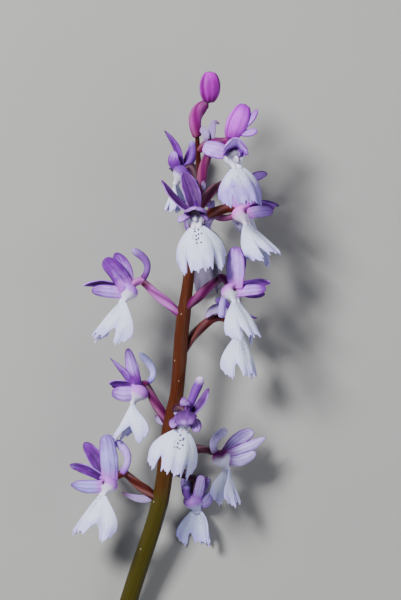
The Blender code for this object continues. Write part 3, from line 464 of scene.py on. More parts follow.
class Line:
    """A curved line with a frame at each of its steps."""

    def __init__(self, frames: list[Frame]) -> None:
        """Keeps the frames."""
        self.frames = frames

    @classmethod
    def walking(cls, root: Vector, length: float, lean: float, curl: float) -> "Line":
        """A line that curls as it goes, on a flower's own axes.

        Args:
            root: Where it starts.
            length: How long it is.
            lean: The way it starts.
            curl: How far it has turned at its end.

        Returns:
            The line.
        """
        frames = []
        point = Vector(root)
        for step in range(LINE_STEPS + 1):
            angle = math.radians(lean + curl * step / LINE_STEPS)
            along = Vector((0.0, math.sin(angle), math.cos(angle)))
            face = Vector((0.0, -math.cos(angle), math.sin(angle)))
            frames.append(Frame(point.copy(), along, along.cross(face), face))
            point += along * (length / LINE_STEPS)
        return cls(frames)

    @classmethod
    def through(cls, points: list[Vector], face: Vector) -> "Line":
        """A line through points. Its face is set in the middle and carried both ways without twist.

        Args:
            points: The points, in order.
            face: The way its inner face looks at its middle.

        Returns:
            The line.
        """
        last = len(points) - 1
        ways = [(points[min(i + 1, last)] - points[max(i - 1, 0)]).normalized() for i in range(last + 1)]
        middle = last // 2
        faces: list[Vector | None] = [None] * (last + 1)
        faces[middle] = Vector(face).normalized()
        for index in [middle, *range(middle + 1, last + 1), *range(middle - 1, -1, -1)]:
            source = faces[index] or faces[index - 1 if index > middle else index + 1]
            faces[index] = (source - ways[index] * source.dot(ways[index])).normalized()
        stations = zip(points, ways, faces)
        return cls([Frame(point, way, way.cross(inner), inner) for point, way, inner in stations])

    @classmethod
    def bezier(cls, start: Vector, handle: Vector, end_handle: Vector, end: Vector, face: Vector) -> "Line":
        """A line between two points, drawn by two handles.

        Args:
            start: Where it starts.
            handle: The handle of its start.
            end_handle: The handle of its end.
            end: Where it ends.
            face: The way its inner face looks at its middle.

        Returns:
            The line.
        """
        points = []
        for step in range(LINE_STEPS + 1):
            t = step / LINE_STEPS
            s = 1 - t
            points.append(
                start * s**3 + handle * (3 * s * s * t) + end_handle * (3 * s * t * t) + end * t**3
            )
        return cls.through(points, face)

    @classmethod
    def bowed(cls, start: Vector, middle: Vector, end: Vector, face: Vector) -> "Line":
        """A line pulled towards a handle in its middle.

        Args:
            start: Where it starts.
            middle: The handle.
            end: Where it ends.
            face: The way its inner face looks at its middle.

        Returns:
            The line.
        """
        return cls.bezier(start, start.lerp(middle, 2 / 3), end.lerp(middle, 2 / 3), end, face)

    def at(self, share: float) -> Frame:
        """The frame at a share of the line's length.

        Args:
            share: The share, from 0 to 1.

        Returns:
            The frame.
        """
        place = min(max(share, 0.0), 1.0) * (len(self.frames) - 1)
        low = min(int(place), len(self.frames) - 2)
        point, along, side, face = (
            first.lerp(second, place - low) for first, second in zip(self.frames[low], self.frames[low + 1])
        )
        return Frame(point, along.normalized(), side.normalized(), face.normalized())

    def placed(self, matrix: Matrix) -> "Line":
        """The same line, moved and turned by a matrix."""
        turn = matrix.to_3x3()
        return Line([Frame(matrix @ point, *(turn @ way for way in ways)) for point, *ways in self.frames])


# Modelling


def deselect_all() -> None:
    """Leaves nothing selected, because an operator acts on all that is."""
    bpy.ops.object.select_all(action="DESELECT")


def apply_modifiers(piece: bpy.types.Object) -> None:
    """Applies the modifiers of a piece, in order.

    Args:
        piece: The piece.
    """
    deselect_all()
    piece.select_set(True)
    bpy.context.view_layer.objects.active = piece
    for modifier in list(piece.modifiers):
        bpy.ops.object.modifier_apply(modifier=modifier.name)


def joined(name: str, parts: list[bpy.types.Object]) -> bpy.types.Object:
    """Makes several meshes one piece.

    Args:
        name: The name of the piece.
        parts: The meshes.

    Returns:
        The piece.
    """
    deselect_all()
    for part in parts:
        part.select_set(True)
    bpy.context.view_layer.objects.active = parts[0]
    if len(parts) > 1:
        bpy.ops.object.join()
    parts[0].name = name
    parts[0].data.name = name
    return parts[0]


def paint_attribute(piece: bpy.types.Object, name: str, values: list[float]) -> None:
    """Writes one number for each vertex, which the finish of the piece reads.

    Args:
        piece: The piece.
        name: The name of the attribute.
        values: A number for each vertex.
    """
    attribute = piece.data.attributes.new(name, "FLOAT", "POINT")
    attribute.data.foreach_set("value", values)


@dataclass(frozen=True)
class Leaf:
    """A thin leaf of tissue, shaped from a grid: its grain across and along, and its thickness."""

    columns: int
    rows: int
    thickness: float = 0.42
    rounding: int = 1

    def build(
        self, surface: Callable[[float, float], Vector], marks: Marks | None = None
    ) -> bpy.types.Object:
        """Shapes the grid by a surface and gives it its thickness.

        Args:
            surface: Gives a point for a share across from -1 to 1 and a share along from 0 to 1.
            marks: Give numbers that the finish reads, for the same shares.

        Returns:
            The leaf, in metres.
        """
        deselect_all()
        bpy.ops.mesh.primitive_grid_add(x_subdivisions=self.columns, y_subdivisions=self.rows, size=2.0)
        leaf = bpy.context.object
        shares = [(vertex.co.x, (vertex.co.y + 1) / 2) for vertex in leaf.data.vertices]
        for vertex, place in zip(leaf.data.vertices, shares):
            vertex.co = surface(*place) * METRES
        for name, mark in (marks or {}).items():
            paint_attribute(leaf, name, [mark(*place) for place in shares])
        wall = leaf.modifiers.new("Wall", "SOLIDIFY")
        wall.thickness = self.thickness * METRES
        wall.offset = 0.0
        wall.use_even_offset = False
        soft = leaf.modifiers.new("Soft", "SUBSURF")
        soft.levels = self.rounding
        soft.render_levels = self.rounding
        apply_modifiers(leaf)
        leaf.data.shade_smooth()
        return leaf


@dataclass(frozen=True)
class Round:
    """A closed round body along a line, shaped from a ball: its grain round and along, and its flat ends."""

    segments: int
    rings: int
    flat_rings: int = 0

    def build(
        self,
        line: Line,
        radius: Callable[[float, float], float],
        twist: float = 0.0,
        marks: Marks | None = None,
    ) -> bpy.types.Object:
        """Draws the ball out along a line.

        Args:
            line: The line.
            radius: Gives the radius for a share along from 0 to 1 and an angle round it in radians.
            twist: How far the body turns along its line, in degrees.
            marks: Give numbers that the finish reads, for the same share and angle.

        Returns:
            The body, in metres.
        """
        deselect_all()
        bpy.ops.mesh.primitive_uv_sphere_add(segments=self.segments, ring_count=self.rings, radius=1.0)
        body = bpy.context.object
        places = [self._place(vertex.co) for vertex in body.data.vertices]
        for vertex, (ring, share, angle) in zip(body.data.vertices, places):
            point, _, side, face = line.at(share)
            turn = angle + math.radians(twist) * share
            way = side * math.cos(turn) + face * math.sin(turn)
            vertex.co = (point + way * radius(share, angle) * self._closing(ring)) * METRES
        for name, mark in (marks or {}).items():
            paint_attribute(body, name, [mark(share, angle) for _, share, angle in places])
        # A line's side and face run the other way round than the ball's own axes, which turns it inside out.
        body.data.flip_normals()
        body.data.shade_smooth()
        return body

    def _place(self, spot: Vector) -> tuple[int, float, float]:
        """The ring, the share along and the angle round of a spot on the ball."""
        ring = round(math.acos(max(-1.0, min(1.0, -spot.z))) / math.pi * self.rings)
        return ring, self._share(ring), math.atan2(spot.y, spot.x)

    def _share(self, ring: int) -> float:
        """The share along the line of a ring of the ball.

        Args:
            ring: The ring, from the first pole.

        Returns:
            The share, from 0 to 1.
        """
        if not self.flat_rings:
            return ring / self.rings
        return min(max((ring - self.flat_rings) / (self.rings - 2 * self.flat_rings), 0.0), 1.0)

    def _closing(self, ring: int) -> float:
        """How far a ring reaches out: less than 1 only on the flat ends and at the poles.

        Args:
            ring: The ring, from the first pole.

        Returns:
            The share of the full radius.
        """
        edge = min(ring, self.rings - ring)
        if edge == 0:
            return 0.0
        if not self.flat_rings or edge >= self.flat_rings:
            return 1.0
        return edge / self.flat_rings


def dressed(
    piece: bpy.types.Object, name: str, slot: Slot, finish: "Finish", *nodes: str
) -> bpy.types.Object:
    """Names a piece, gives it its finish, and sets it on the part.

    Args:
        piece: The piece.
        name: Its name.
        slot: The material slot that it belongs to; not used.
        finish: Its finish.
        *nodes: The CAD nodes that it stands for.

    Returns:
        The piece.
    """
    piece.name = name
    piece.data.name = name
    piece.data.materials.clear()
    piece.data.materials.append(finish.material())
    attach(piece, "root")
    if nodes:
        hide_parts(*nodes)
    LOG.info("%s: %d faces", name, len(piece.data.polygons))
    return piece


# Finishes


class Term:
    """A socket of a shader, so that maths on it is written as maths."""

    def __init__(self, recipe: "Recipe", socket: bpy.types.NodeSocket) -> None:
        """Keeps the socket."""
        self.recipe = recipe
        self.socket = socket

    def _maths(self, operation: str, first: "Term | float", second: "Term | float" = 0.0) -> "Term":
        """Adds a Math node."""
        return self.recipe.term("ShaderNodeMath", {"operation": operation}, {0: first, 1: second})

    def __add__(self, other: "Term | float") -> "Term":
        """This plus another."""
        return self._maths("ADD", self, other)

    __radd__ = __add__

    def __sub__(self, other: "Term | float") -> "Term":
        """This less another."""
        return self._maths("SUBTRACT", self, other)

    def __rsub__(self, other: float) -> "Term":
        """A number less this."""
        return self._maths("SUBTRACT", other, self)

    def __mul__(self, other: "Term | float") -> "Term":
        """This times another."""
        return self._maths("MULTIPLY", self, other)

    __rmul__ = __mul__

    def __pow__(self, power: float) -> "Term":
        """This to a power."""
        return self._maths("POWER", self, power)

    def __abs__(self) -> "Term":
        """This without its sign."""
        return self._maths("ABSOLUTE", self)

    def waves(self) -> "Term":
        """Waves from 0 to 1, one for each 2 pi of this."""
        return self._maths("SINE", self) * 0.5 + 0.5

    def within(self, low: float, high: float) -> "Term":
        """0 at low and 1 at high, with an easy curve between. Low may be above high."""
        settings = {"interpolation_type": "SMOOTHSTEP"}
        return self.recipe.term("ShaderNodeMapRange", settings, {0: self, 1: low, 2: high, 3: 0.0, 4: 1.0})


class Recipe:
    """A finish while its nodes are put together."""

    def __init__(self, name: str, roughness: float = 0.5, soft: float = 0.0) -> None:
        """Starts a material.

        Args:
            name: Its name.
            roughness: How rough it is all over.
            soft: How much light goes on inside it.
        """
        self.material = bpy.data.materials.new(name)
        self.material.use_nodes = True
        self.tree = self.material.node_tree
        self.shader = self.tree.nodes["Principled BSDF"]
        self.shader.inputs["Roughness"].default_value = roughness
        self.shader.inputs["Specular IOR Level"].default_value = SHEEN
        if soft:
            self.shader.inputs["Subsurface Weight"].default_value = soft
            self.shader.inputs["Subsurface Radius"].default_value = GLOW_SHARES
            self.shader.inputs["Subsurface Scale"].default_value = GLOW_REACH * METRES

    def node(self, kind: str, settings: dict | None = None, inputs: dict | None = None) -> bpy.types.Node:
        """Adds a node.

        Args:
            kind: Its type.
            settings: Its settings, which are set first. "stops" are a ramp's places and colours.
            inputs: The values or terms of its sockets, by name or place.

        Returns:
            The node.
        """
        node = self.tree.nodes.new(kind)
        for key, value in (settings or {}).items():
            if key == "stops":
                self._set_stops(node.color_ramp, value)
            else:
                setattr(node, key, value)
        for key, value in (inputs or {}).items():
            if isinstance(value, Term):
                self.tree.links.new(value.socket, node.inputs[key])
            else:
                node.inputs[key].default_value = value
        return node

    def term(
        self, kind: str, settings: dict | None = None, inputs: dict | None = None, output: str | int = 0
    ) -> Term:
        """Adds a node and gives one of its outputs, by name or place."""
        return Term(self, self.node(kind, settings, inputs).outputs[output])

    @staticmethod
    def _set_stops(ramp: bpy.types.ColorRamp, stops: list[tuple[float, Colour]]) -> None:
        """Sets the places and colours of a ramp.

        Args:
            ramp: The ramp.
            stops: Its places and colours.
        """
        while len(ramp.elements) < len(stops):
            ramp.elements.new(1.0)
        for element, (place, colour) in zip(ramp.elements, stops):
            element.position = place
            element.color = (*colour, 1.0)

    def mix(self, share: Term | float, first: Term | Colour, second: Term | Colour) -> Term:
        """A colour between two."""
        inputs = {0: share, 6: self._colour(first), 7: self._colour(second)}
        return self.term("ShaderNodeMix", {"data_type": "RGBA", "clamp_factor": True}, inputs, 2)

    @staticmethod
    def _colour(value: Term | Colour) -> Term | tuple[float, float, float, float]:
        """A colour as a socket takes it."""
        return value if isinstance(value, Term) else (*value, 1.0)

    def ramp(self, place: Term, stops: list[tuple[float, Colour]]) -> Term:
        """A colour that changes with a number."""
        return self.term("ShaderNodeValToRGB", {"stops": stops}, {0: place})

    def own_map(self) -> tuple[Term, Term]:
        """The shares across and along of the piece's own map.

        Returns:
            Both shares, from 0 to 1.
        """
        source = self.term("ShaderNodeTexCoord", output="UV")
        parts = self.node("ShaderNodeSeparateXYZ", None, {0: source})
        return Term(self, parts.outputs[0]), Term(self, parts.outputs[1])

    def attribute(self, name: str) -> Term:
        """A number that the piece carries at each vertex."""
        return self.term("ShaderNodeAttribute", {"attribute_name": name}, output="Fac")

    def noise(self, grain: float, detail: float = 2.0, stretch: Point = (1.0, 1.0, 1.0)) -> Term:
        """Soft noise in the part's own space.

        Args:
            grain: The size of its grain, in millimetres.
            detail: How many finer layers it has.
            stretch: How much finer it is along each axis.

        Returns:
            A number about 0.5.
        """
        source = self.term("ShaderNodeTexCoord", output="Object")
        place = self.term("ShaderNodeMapping", None, {0: source, 3: stretch})
        return self.term(
            "ShaderNodeTexNoise", None, {"Vector": place, "Scale": 1 / (grain * METRES), "Detail": detail}
        )

    def specks(self, across: Term, along: Term, pitch: float, size: float, seed: float) -> Term:
        """Scattered round specks on a flat map in millimetres.

        Args:
            across: The place across, in millimetres.
            along: The place along, in millimetres.
            pitch: How far apart the specks are.
            size: The radius of a speck, in pitches.
            seed: Shifts the pattern.

        Returns:
            1 on a speck and 0 beside it.
        """
        spot = {0: across * (1 / pitch) + seed, 1: along * (1 / pitch) + seed}
        inputs = {"Vector": self.term("ShaderNodeCombineXYZ", None, spot), "Scale": 1.0, "Randomness": 0.8}
        away = self.term("ShaderNodeTexVoronoi", {"voronoi_dimensions": "2D"}, inputs, "Distance")
        return away.within(size, size * SPECK_EDGE)

    def finish(self, colour: Term, height: Term | None = None, depth: float = 0.05) -> bpy.types.Material:
        """Ends the finish.

        Args:
            colour: Its colour.
            height: Its relief, from 0 to 1.
            depth: How deep the relief is, in millimetres.

        Returns:
            The material.
        """
        self.tree.links.new(colour.socket, self.shader.inputs["Base Color"])
        if height is not None:
            inputs = {"Strength": 1.0, "Distance": depth * METRES, "Height": height}
            bump = self.node("ShaderNodeBump", None, inputs)
            self.tree.links.new(bump.outputs[0], self.shader.inputs["Normal"])
        return self.material


@dataclass(frozen=True)
class Finish:
    """The finish of a piece, by its name."""

    name: str

    def material(self) -> bpy.types.Material:
        """Builds the finish, each kind in its own way."""
        raise NotImplementedError


@dataclass(frozen=True)
class SepalFinish(Finish):
    """Soft lilac tissue that goes to violet and a deep purple, with veins along it and a darker edge."""

    pale: Colour
    foot: Colour
    violet: Colour
    deep: Colour

    def material(self) -> bpy.types.Material:
        """Builds the finish.

        Returns:
            The material.
        """
        recipe = Recipe(self.name, 0.5, 0.12)
        across, along = recipe.own_map()
        side = abs(across * 2 - 1)
        shade = recipe.attribute("shade")
        blotch = recipe.noise(2.2)
        vein = (across * 22 + blotch * 4).waves() ** 4 * (1 - side ** 4)
        dark = shade.within(0.4, 0.7)
        edge = (side ** 6) * 0.5 + along.within(0.85, 1.0) * 0.15
        depth = shade + (blotch - 0.5) * 0.4 + (vein * 0.12 + edge) * (1 - dark * 2)
        body = recipe.ramp(depth, [(0.0, self.pale), (0.5, self.violet), (0.95, self.deep)])
        base = (along + blotch * 0.3 - 0.15).within(0.34, 0.0)
        body = recipe.mix(base * 0.8 * (1 - dark), body, self.foot)
        fine = recipe.noise(0.25)
        relief = fine * 0.4 + vein * 0.6
        return recipe.finish(body, relief, 0.12)


@dataclass(frozen=True)
class LipFinish(Finish):
    """White tissue with lilac ends and purple dots below its neck."""

    body: Colour
    rim: Colour
    rim_from: float
    dots: Colour
    dotted: float
    seed: float

    def material(self) -> bpy.types.Material:
        """Builds the finish.

        Returns:
            The material.
        """
        recipe = Recipe(self.name, 0.55, 0.15)
        across, along = recipe.own_map()
        flat_across, flat_along = recipe.attribute("flat_across"), recipe.attribute("flat_along")
        side = abs(across * 2 - 1)
        blotch = recipe.noise(2.5)
        ends = (along + blotch * 0.35 - 0.17).within(self.rim_from, self.rim_from + 0.55)
        colour = recipe.mix(ends * 0.6 + (blotch.within(0.5, 0.75)) * 0.2, self.body, self.rim)
        colour = recipe.mix((side ** 6) * 0.4, colour, self.rim)
        fan = (across * 95 + blotch * 4).waves() ** 4
        colour = recipe.mix(fan * ends * 0.12, colour, self.rim)
        patch = 1 - abs(flat_across).within(0.9, 1.5)
        patch = patch * flat_along.within(0.2, 0.7) * flat_along.within(5.4, 4.4)
        dots = recipe.specks(flat_across, flat_along, 0.95, 0.34, self.seed)
        colour = recipe.mix(dots * patch * self.dotted, colour, self.dots)
        relief = recipe.noise(0.22) * 0.25 + fan * 0.2 + blotch * 0.5
        return recipe.finish(colour, relief, 0.12)


@dataclass(frozen=True)
class ThroatFinish(Finish):
    """White waxy tissue round a hollow painted brown purple as shade; above, pink or painted shade."""

    body: Colour
    # Pink on most flowers; where a hood arches over the throat, a dark painted shade.
    above: Colour
    reach: float
    # Painted shade of the hollow under the column; the column's brown anther slits take it too.
    hollow: Colour

    def material(self) -> bpy.types.Material:
        """Builds the finish.

        Returns:
            The material.
        """
        recipe = Recipe(self.name, 0.42, 0.12)
        _, along = recipe.own_map()
        blotch = recipe.noise(1.6)
        # The upper part takes the above colour, which under a hood is painted shade.
        below = (along + blotch * 0.2 - 0.1).within(self.reach - 0.3, self.reach)
        colour = recipe.mix(below, self.above, self.body)
        # Painted shade in the hollow, and the brown of the anther slits.
        colour = recipe.mix(recipe.attribute("hollow"), colour, self.hollow)
        return recipe.finish(colour, recipe.noise(0.3), 0.08)


@dataclass(frozen=True)
class SpurFinish(Finish):
    """A hollow horn, lilac with a pale tip and fine specks."""

    body: Colour
    foot: Colour
    tip: Colour

    def material(self) -> bpy.types.Material:
        """Builds the finish.

        Returns:
            The material.
        """
        recipe = Recipe(self.name, 0.45, 0.12)
        across, along = recipe.own_map()
        blotch = recipe.noise(1.4)
        stops = [(0.0, self.foot), (0.3, self.body), (0.78, self.body), (1.0, self.tip)]
        colour = recipe.ramp(along + blotch * 0.16 - 0.08, stops)
        specks = recipe.specks(across * 6, along * 11, 0.6, 0.3, 3.0)
        colour = recipe.mix(specks * 0.35, colour, self.foot)
        return recipe.finish(colour, recipe.noise(0.3), 0.1)


@dataclass(frozen=True)
class StalkFinish(Finish):
    """A waxy ovary whose ribs are paler than its grooves, dark where it meets the flower."""

    foot: Colour
    body: Colour
    knot: Colour

    def material(self) -> bpy.types.Material:
        """Builds the finish.

        Returns:
            The material.
        """
        recipe = Recipe(self.name, 0.38)
        across, along = recipe.own_map()
        blotch = recipe.noise(1.6)
        stops = [(0.0, self.foot), (0.3, self.body), (0.8, self.body), (0.95, self.knot)]
        colour = recipe.ramp(along + blotch * 0.2 - 0.1, stops)
        rib = (across * (6 * math.pi)).waves()
        colour = recipe.mix((rib ** 3) * 0.12, colour, (0.6, 0.42, 0.5))
        colour = recipe.mix((1 - rib) ** 3 * 0.6, colour, self.knot)
        relief = recipe.noise(0.3) * 0.5 + recipe.noise(0.9) * 0.5
        return recipe.finish(colour, relief, 0.1)


@dataclass(frozen=True)
class BractFinish(Finish):
    """A papery leaf, pale with purple veins and a brown tip."""

    body: Colour
    vein: Colour
    tip: Colour

    def material(self) -> bpy.types.Material:
        """Builds the finish.

        Returns:
            The material.
        """
        recipe = Recipe(self.name, 0.6, 0.1)
        across, along = recipe.own_map()
        colour = recipe.mix(along.within(0.55, 1.0), self.body, self.tip)
        vein = (across * 34 + recipe.noise(1.5) * 2).waves() ** 3
        colour = recipe.mix(vein * 0.5, colour, self.vein)
        return recipe.finish(colour, vein * 0.5 + recipe.noise(0.3) * 0.5, 0.1)


@dataclass(frozen=True)
class StemFinish(Finish):
    """A waxy stem, olive below, brown red above and maroon at its top, with fine lines and pale specks."""

    foot: Colour
    middle: Colour
    top: Colour
    cut: Colour

    def material(self) -> bpy.types.Material:
        """Builds the finish.

        Returns:
            The material.
        """
        recipe = Recipe(self.name, 0.36)
        across, along = recipe.own_map()
        blotch = recipe.noise(4.0)
        stops = [(0.0, self.foot), (0.34, self.foot), (0.44, self.middle), (0.75, self.middle)]
        stops.append((0.9, self.top))
        colour = recipe.ramp(along + blotch * 0.1 - 0.05, stops)
        lines = (across * (44 * math.pi) + recipe.noise(3.0) * 2).waves() ** 2
        streak = recipe.noise(0.7, 3.0, (1.0, 0.08, 1.0))
        colour = recipe.mix((streak - 0.45) * 0.5 * along.within(0.25, 0.5), colour, (0.2, 0.1, 0.05))
        colour = recipe.mix(lines * 0.12, colour, (0.03, 0.012, 0.006))
        specks = recipe.specks(across * 12, along * 140, 9.0, 0.022, 7.0)
        colour = recipe.mix(specks * 0.55, colour, (0.6, 0.5, 0.4))
        colour = recipe.mix(recipe.attribute("cut"), colour, self.cut)
        return recipe.finish(colour, lines * 0.5 + streak * 0.7, 0.1)


@dataclass(frozen=True)
class BudFinish(Finish):
    """A closed bud: glossy tissue with pale streaks along it and dark seams."""

    foot: Colour
    body: Colour
    tip: Colour
    seam: Colour

    def material(self) -> bpy.types.Material:
        """Builds the finish.

        Returns:
            The material.
        """
        recipe = Recipe(self.name, 0.42, 0.12)
        across, along = recipe.own_map()
        blotch = recipe.noise(1.8)
        stops = [(0.0, self.foot), (0.35, self.body), (0.7, self.body), (1.0, self.tip)]
        colour = recipe.ramp(along + blotch * 0.25 - 0.12, stops)
        streak = (across * (18 * math.pi) + blotch * 3).waves() ** 3
        colour = recipe.mix(streak * 0.4, colour, self.tip)
        colour = recipe.mix(recipe.attribute("seam") * 0.8, colour, self.seam)
        return recipe.finish(colour, streak * 0.4 + recipe.noise(0.3) * 0.6, 0.1)


@dataclass(frozen=True)
class FloorFinish(Finish):
    """A plain pale floor."""

    name: str = "floor"
    colour: Colour = (0.33, 0.33, 0.325)

    def material(self) -> bpy.types.Material:
        """Builds the finish.

        Returns:
            The material.
        """
        recipe = Recipe(self.name, 0.85)
        tint = recipe.mix(recipe.noise(30.0), self.colour, tuple(share * 0.96 for share in self.colour))
        return recipe.finish(tint)


# Colours


Shades = tuple[float, float, float]


@dataclass(frozen=True)
class Tints:
    """The colours of one flower.

    The shades say how deep the violet of a sepal or petal is at its foot, its middle and its tip, for the
    top, right and left sepals and the right and left petals. Above is the colour of the throat's upper part,
    which ends at reach: pink tissue on most flowers, and painted shade where a hood arches over it.
    Rim_from is where the lilac of the lip's ends starts.
    """

    pale: Colour = tone(196, 164, 240)
    foot: Colour = tone(182, 104, 214)
    violet: Colour = tone(118, 68, 154)
    deep: Colour = tone(50, 12, 70)
    shades: tuple[Shades, ...] = (
        (0.6, 0.6, 0.5), (0.2, 0.2, 0.3), (0.2, 0.3, 0.3), (0.2, 0.2, 0.4), (0.5, 0.6, 0.7),
    )
    lip: Colour = tone(218, 226, 250)
    lip_rim: Colour = tone(178, 168, 236)
    rim_from: float = 0.5
    throat: Colour = tone(222, 220, 242)
    above: Colour = tone(188, 132, 220)
    reach: float = 0.6
    spur: Colour = tone(114, 76, 156)
    spur_foot: Colour = tone(92, 44, 130)
    spur_tip: Colour = tone(170, 154, 220)
    ovary: Colour = tone(86, 34, 72)
    ovary_foot: Colour = tone(60, 16, 44)
    knot: Colour = tone(36, 8, 26)
    dotted: float = 0.3


TINTS = (
    Tints(
        shades=((0.9, 0.65, 0.2), (0.1, 0.0, 0.2), (0.95, 0.8, 0.35), (0.0, 0.05, 0.35), (0.8, 0.7, 0.6)),
        pale=tone(178, 170, 238), foot=tone(190, 120, 214), spur=tone(184, 158, 226),
        spur_foot=tone(140, 80, 180), spur_tip=tone(150, 136, 200), ovary=tone(76, 34, 16),
        ovary_foot=tone(50, 16, 26), dotted=0.5,
    ),
    # This flower lies behind, in shade: its pale, foot, lip, throat, above and ovary are dimmed as painted
    # shade.
    Tints(
        shades=((0.2, 0.2, 0.3), (0.2, 0.1, 0.1), (0.2, 0.05, 0.15), (0.3, 0.2, 0.2), (0.2, 0.05, 0.0)),
        pale=tone(166, 152, 206), lip=tone(200, 208, 236), throat=tone(176, 180, 214),
        above=tone(150, 110, 184), foot=tone(120, 60, 150), ovary=tone(44, 14, 32),
        spur=tone(120, 84, 160),
    ),
    Tints(
        shades=((0.35, 0.1, 0.05), (0.25, 0.1, 0.05), (0.2, 0.05, 0.1), (0.4, 0.35, 0.3), (0.1, 0.0, 0.05)),
        pale=tone(198, 188, 240), foot=tone(110, 40, 110), spur=tone(182, 172, 222),
        spur_foot=tone(84, 22, 84), spur_tip=tone(200, 196, 234), ovary=tone(52, 18, 34),
        throat=tone(206, 206, 232), above=tone(110, 36, 104), reach=0.4, lip=tone(204, 210, 234),
    ),
    # The dark above is painted shade under the hood.
    Tints(
        shades=((1.0, 0.8, 0.25), (1.0, 0.8, 0.5), (0.6, 0.35, 0.2), (0.6, 0.35, 0.1), (0.6, 0.4, 0.2)),
        violet=tone(112, 76, 140), deep=tone(40, 10, 58), spur=tone(112, 70, 150),
        spur_tip=tone(225, 214, 244), above=tone(60, 18, 84), reach=0.66, ovary=tone(58, 20, 44),
        dotted=1.0,
    ),
    Tints(
        shades=((0.4, 0.65, 0.6), (0.75, 0.0, 0.3), (0.6, 0.35, 0.1), (0.05, 0.0, 0.35), (0.9, 0.8, 0.6)),
        spur=tone(190, 188, 240), spur_foot=tone(120, 90, 190), spur_tip=tone(196, 200, 246),
        ovary=tone(92, 30, 80), ovary_foot=tone(60, 14, 48),
    ),
    Tints(
        shades=((0.1, 0.15, 0.2), (0.05, 0.0, 0.0), (0.0, 0.1, 0.2), (0.1, 0.1, 0.2), (0.1, 0.1, 0.2)),
        pale=tone(216, 206, 246), foot=tone(200, 170, 232), ovary=tone(84, 38, 36),
        knot=tone(50, 18, 22),
    ),
    Tints(
        shades=((0.2, 0.35, 0.7), (0.1, 0.15, 0.3), (0.0, 0.05, 0.35), (0.4, 0.3, 0.4), (0.1, 0.2, 0.6)),
        foot=tone(196, 110, 214), spur=tone(176, 156, 222), ovary=tone(104, 42, 92),
        ovary_foot=tone(92, 22, 72), above=tone(204, 140, 226),
    ),
    Tints(
        shades=((0.5, 0.75, 0.7), (0.25, 0.45, 0.6), (0.05, 0.25, 0.5), (0.0, 0.1, 0.35), (0.4, 0.6, 0.85)),
        foot=tone(196, 128, 220), spur=tone(122, 88, 156), spur_foot=tone(90, 24, 104),
        spur_tip=tone(154, 140, 192), ovary=tone(166, 104, 172), ovary_foot=tone(110, 36, 96),
        above=tone(180, 130, 222), knot=tone(64, 14, 40),
    ),
    # This flower lies in shade behind the one above it: its lip, lip rim, throat and spur are darkened, and
    # its pale greyed, as painted shade.
    Tints(
        shades=((0.1, 0.2, 0.2), (0.2, 0.2, 0.2), (0.1, 0.1, 0.1), (0.1, 0.1, 0.1), (0.1, 0.1, 0.1)),
        pale=tone(186, 176, 222), spur=tone(78, 46, 100), throat=tone(120, 114, 136),
        lip=tone(118, 112, 130), lip_rim=tone(90, 80, 106),
    ),
    # The dark above is painted shade under the hood.
    Tints(
        shades=((0.85, 0.5, 0.1), (1.0, 0.65, 0.6), (0.6, 0.85, 0.55), (0.8, 0.5, 0.2), (0.35, 0.15, 0.1)),
        violet=tone(98, 60, 124), deep=tone(42, 14, 58), above=tone(50, 18, 28), reach=0.62,
        spur=tone(40, 12, 56), dotted=1.0,
    ),
    Tints(
        shades=((0.2, 0.2, 0.35), (0.3, 0.1, 0.05), (0.1, 0.05, 0.0), (0.8, 0.7, 0.6), (0.0, 0.0, 0.25)),
        foot=tone(204, 104, 206), throat=tone(228, 218, 242), above=tone(216, 140, 220),
        ovary=tone(84, 38, 26), ovary_foot=tone(62, 24, 22), spur=tone(150, 92, 130),
        spur_tip=tone(196, 164, 196),
    ),
    Tints(
        shades=((0.3, 0.3, 0.3), (1.0, 0.9, 0.3), (0.75, 0.5, 0.35), (0.6, 0.6, 0.6), (0.7, 0.55, 0.1)),
        foot=tone(160, 120, 210), ovary=tone(46, 10, 32), ovary_foot=tone(40, 10, 28),
        above=tone(120, 80, 160),
    ),
    # This flower lies in shade behind the others: its lip and lip rim are greyed as painted shade.
    Tints(
        shades=((0.2, 0.2, 0.2), (0.1, 0.1, 0.1), (0.1, 0.1, 0.1), (0.1, 0.1, 0.1), (0.1, 0.1, 0.1)),
        lip=tone(200, 200, 222), lip_rim=tone(186, 178, 216), ovary=tone(112, 54, 84),
        ovary_foot=tone(84, 34, 54),
    ),
    # The hood's dark foot and the dark above are painted shade inside the hood.
    Tints(
        shades=((0.9, 0.0, 0.0), (0.4, 0.35, 0.3), (0.3, 0.05, 0.0), (0.2, 0.2, 0.2), (0.5, 0.5, 0.5)),
        lip_rim=tone(132, 84, 204), rim_from=0.15, ovary=tone(110, 46, 84), ovary_foot=tone(52, 18, 24),
        knot=tone(84, 30, 84), above=tone(52, 16, 50), reach=0.52,
    ),
)

BUD_FINISHES = (
    BudFinish("bud_01", tone(140, 4, 140), tone(206, 112, 232), tone(160, 44, 190), tone(84, 6, 104)),
    BudFinish("bud_02", tone(78, 2, 52), tone(136, 0, 144), tone(184, 56, 198), tone(66, 0, 70)),
)

BUD_STALK_FINISHES = (
    StalkFinish("bud_stalk_01", tone(84, 34, 24), tone(88, 14, 74), tone(116, 8, 104)),
    StalkFinish("bud_stalk_02", tone(104, 38, 78), tone(132, 56, 124), tone(70, 14, 62)),
)

FREE_SEPAL_COLOURS = (tone(206, 170, 244), tone(150, 30, 160), tone(130, 60, 170), tone(70, 14, 100))


# The parts of a flower


def own_axes(bloom: Bloom) -> Matrix:
    """The turn from a flower's own axes, with Z out of its mouth, to the spike's."""
    turn = Matrix.Rotation(math.radians(bloom.yaw), 3, "Y")
    return turn @ Matrix.Rotation(math.radians(bloom.roll), 3, "Z")


def placing(bloom: Bloom) -> Matrix:
    """The matrix that sets what is made on a flower's own axes in the spike."""
    return Matrix.Translation(bloom.heart) @ own_axes(bloom).to_4x4()


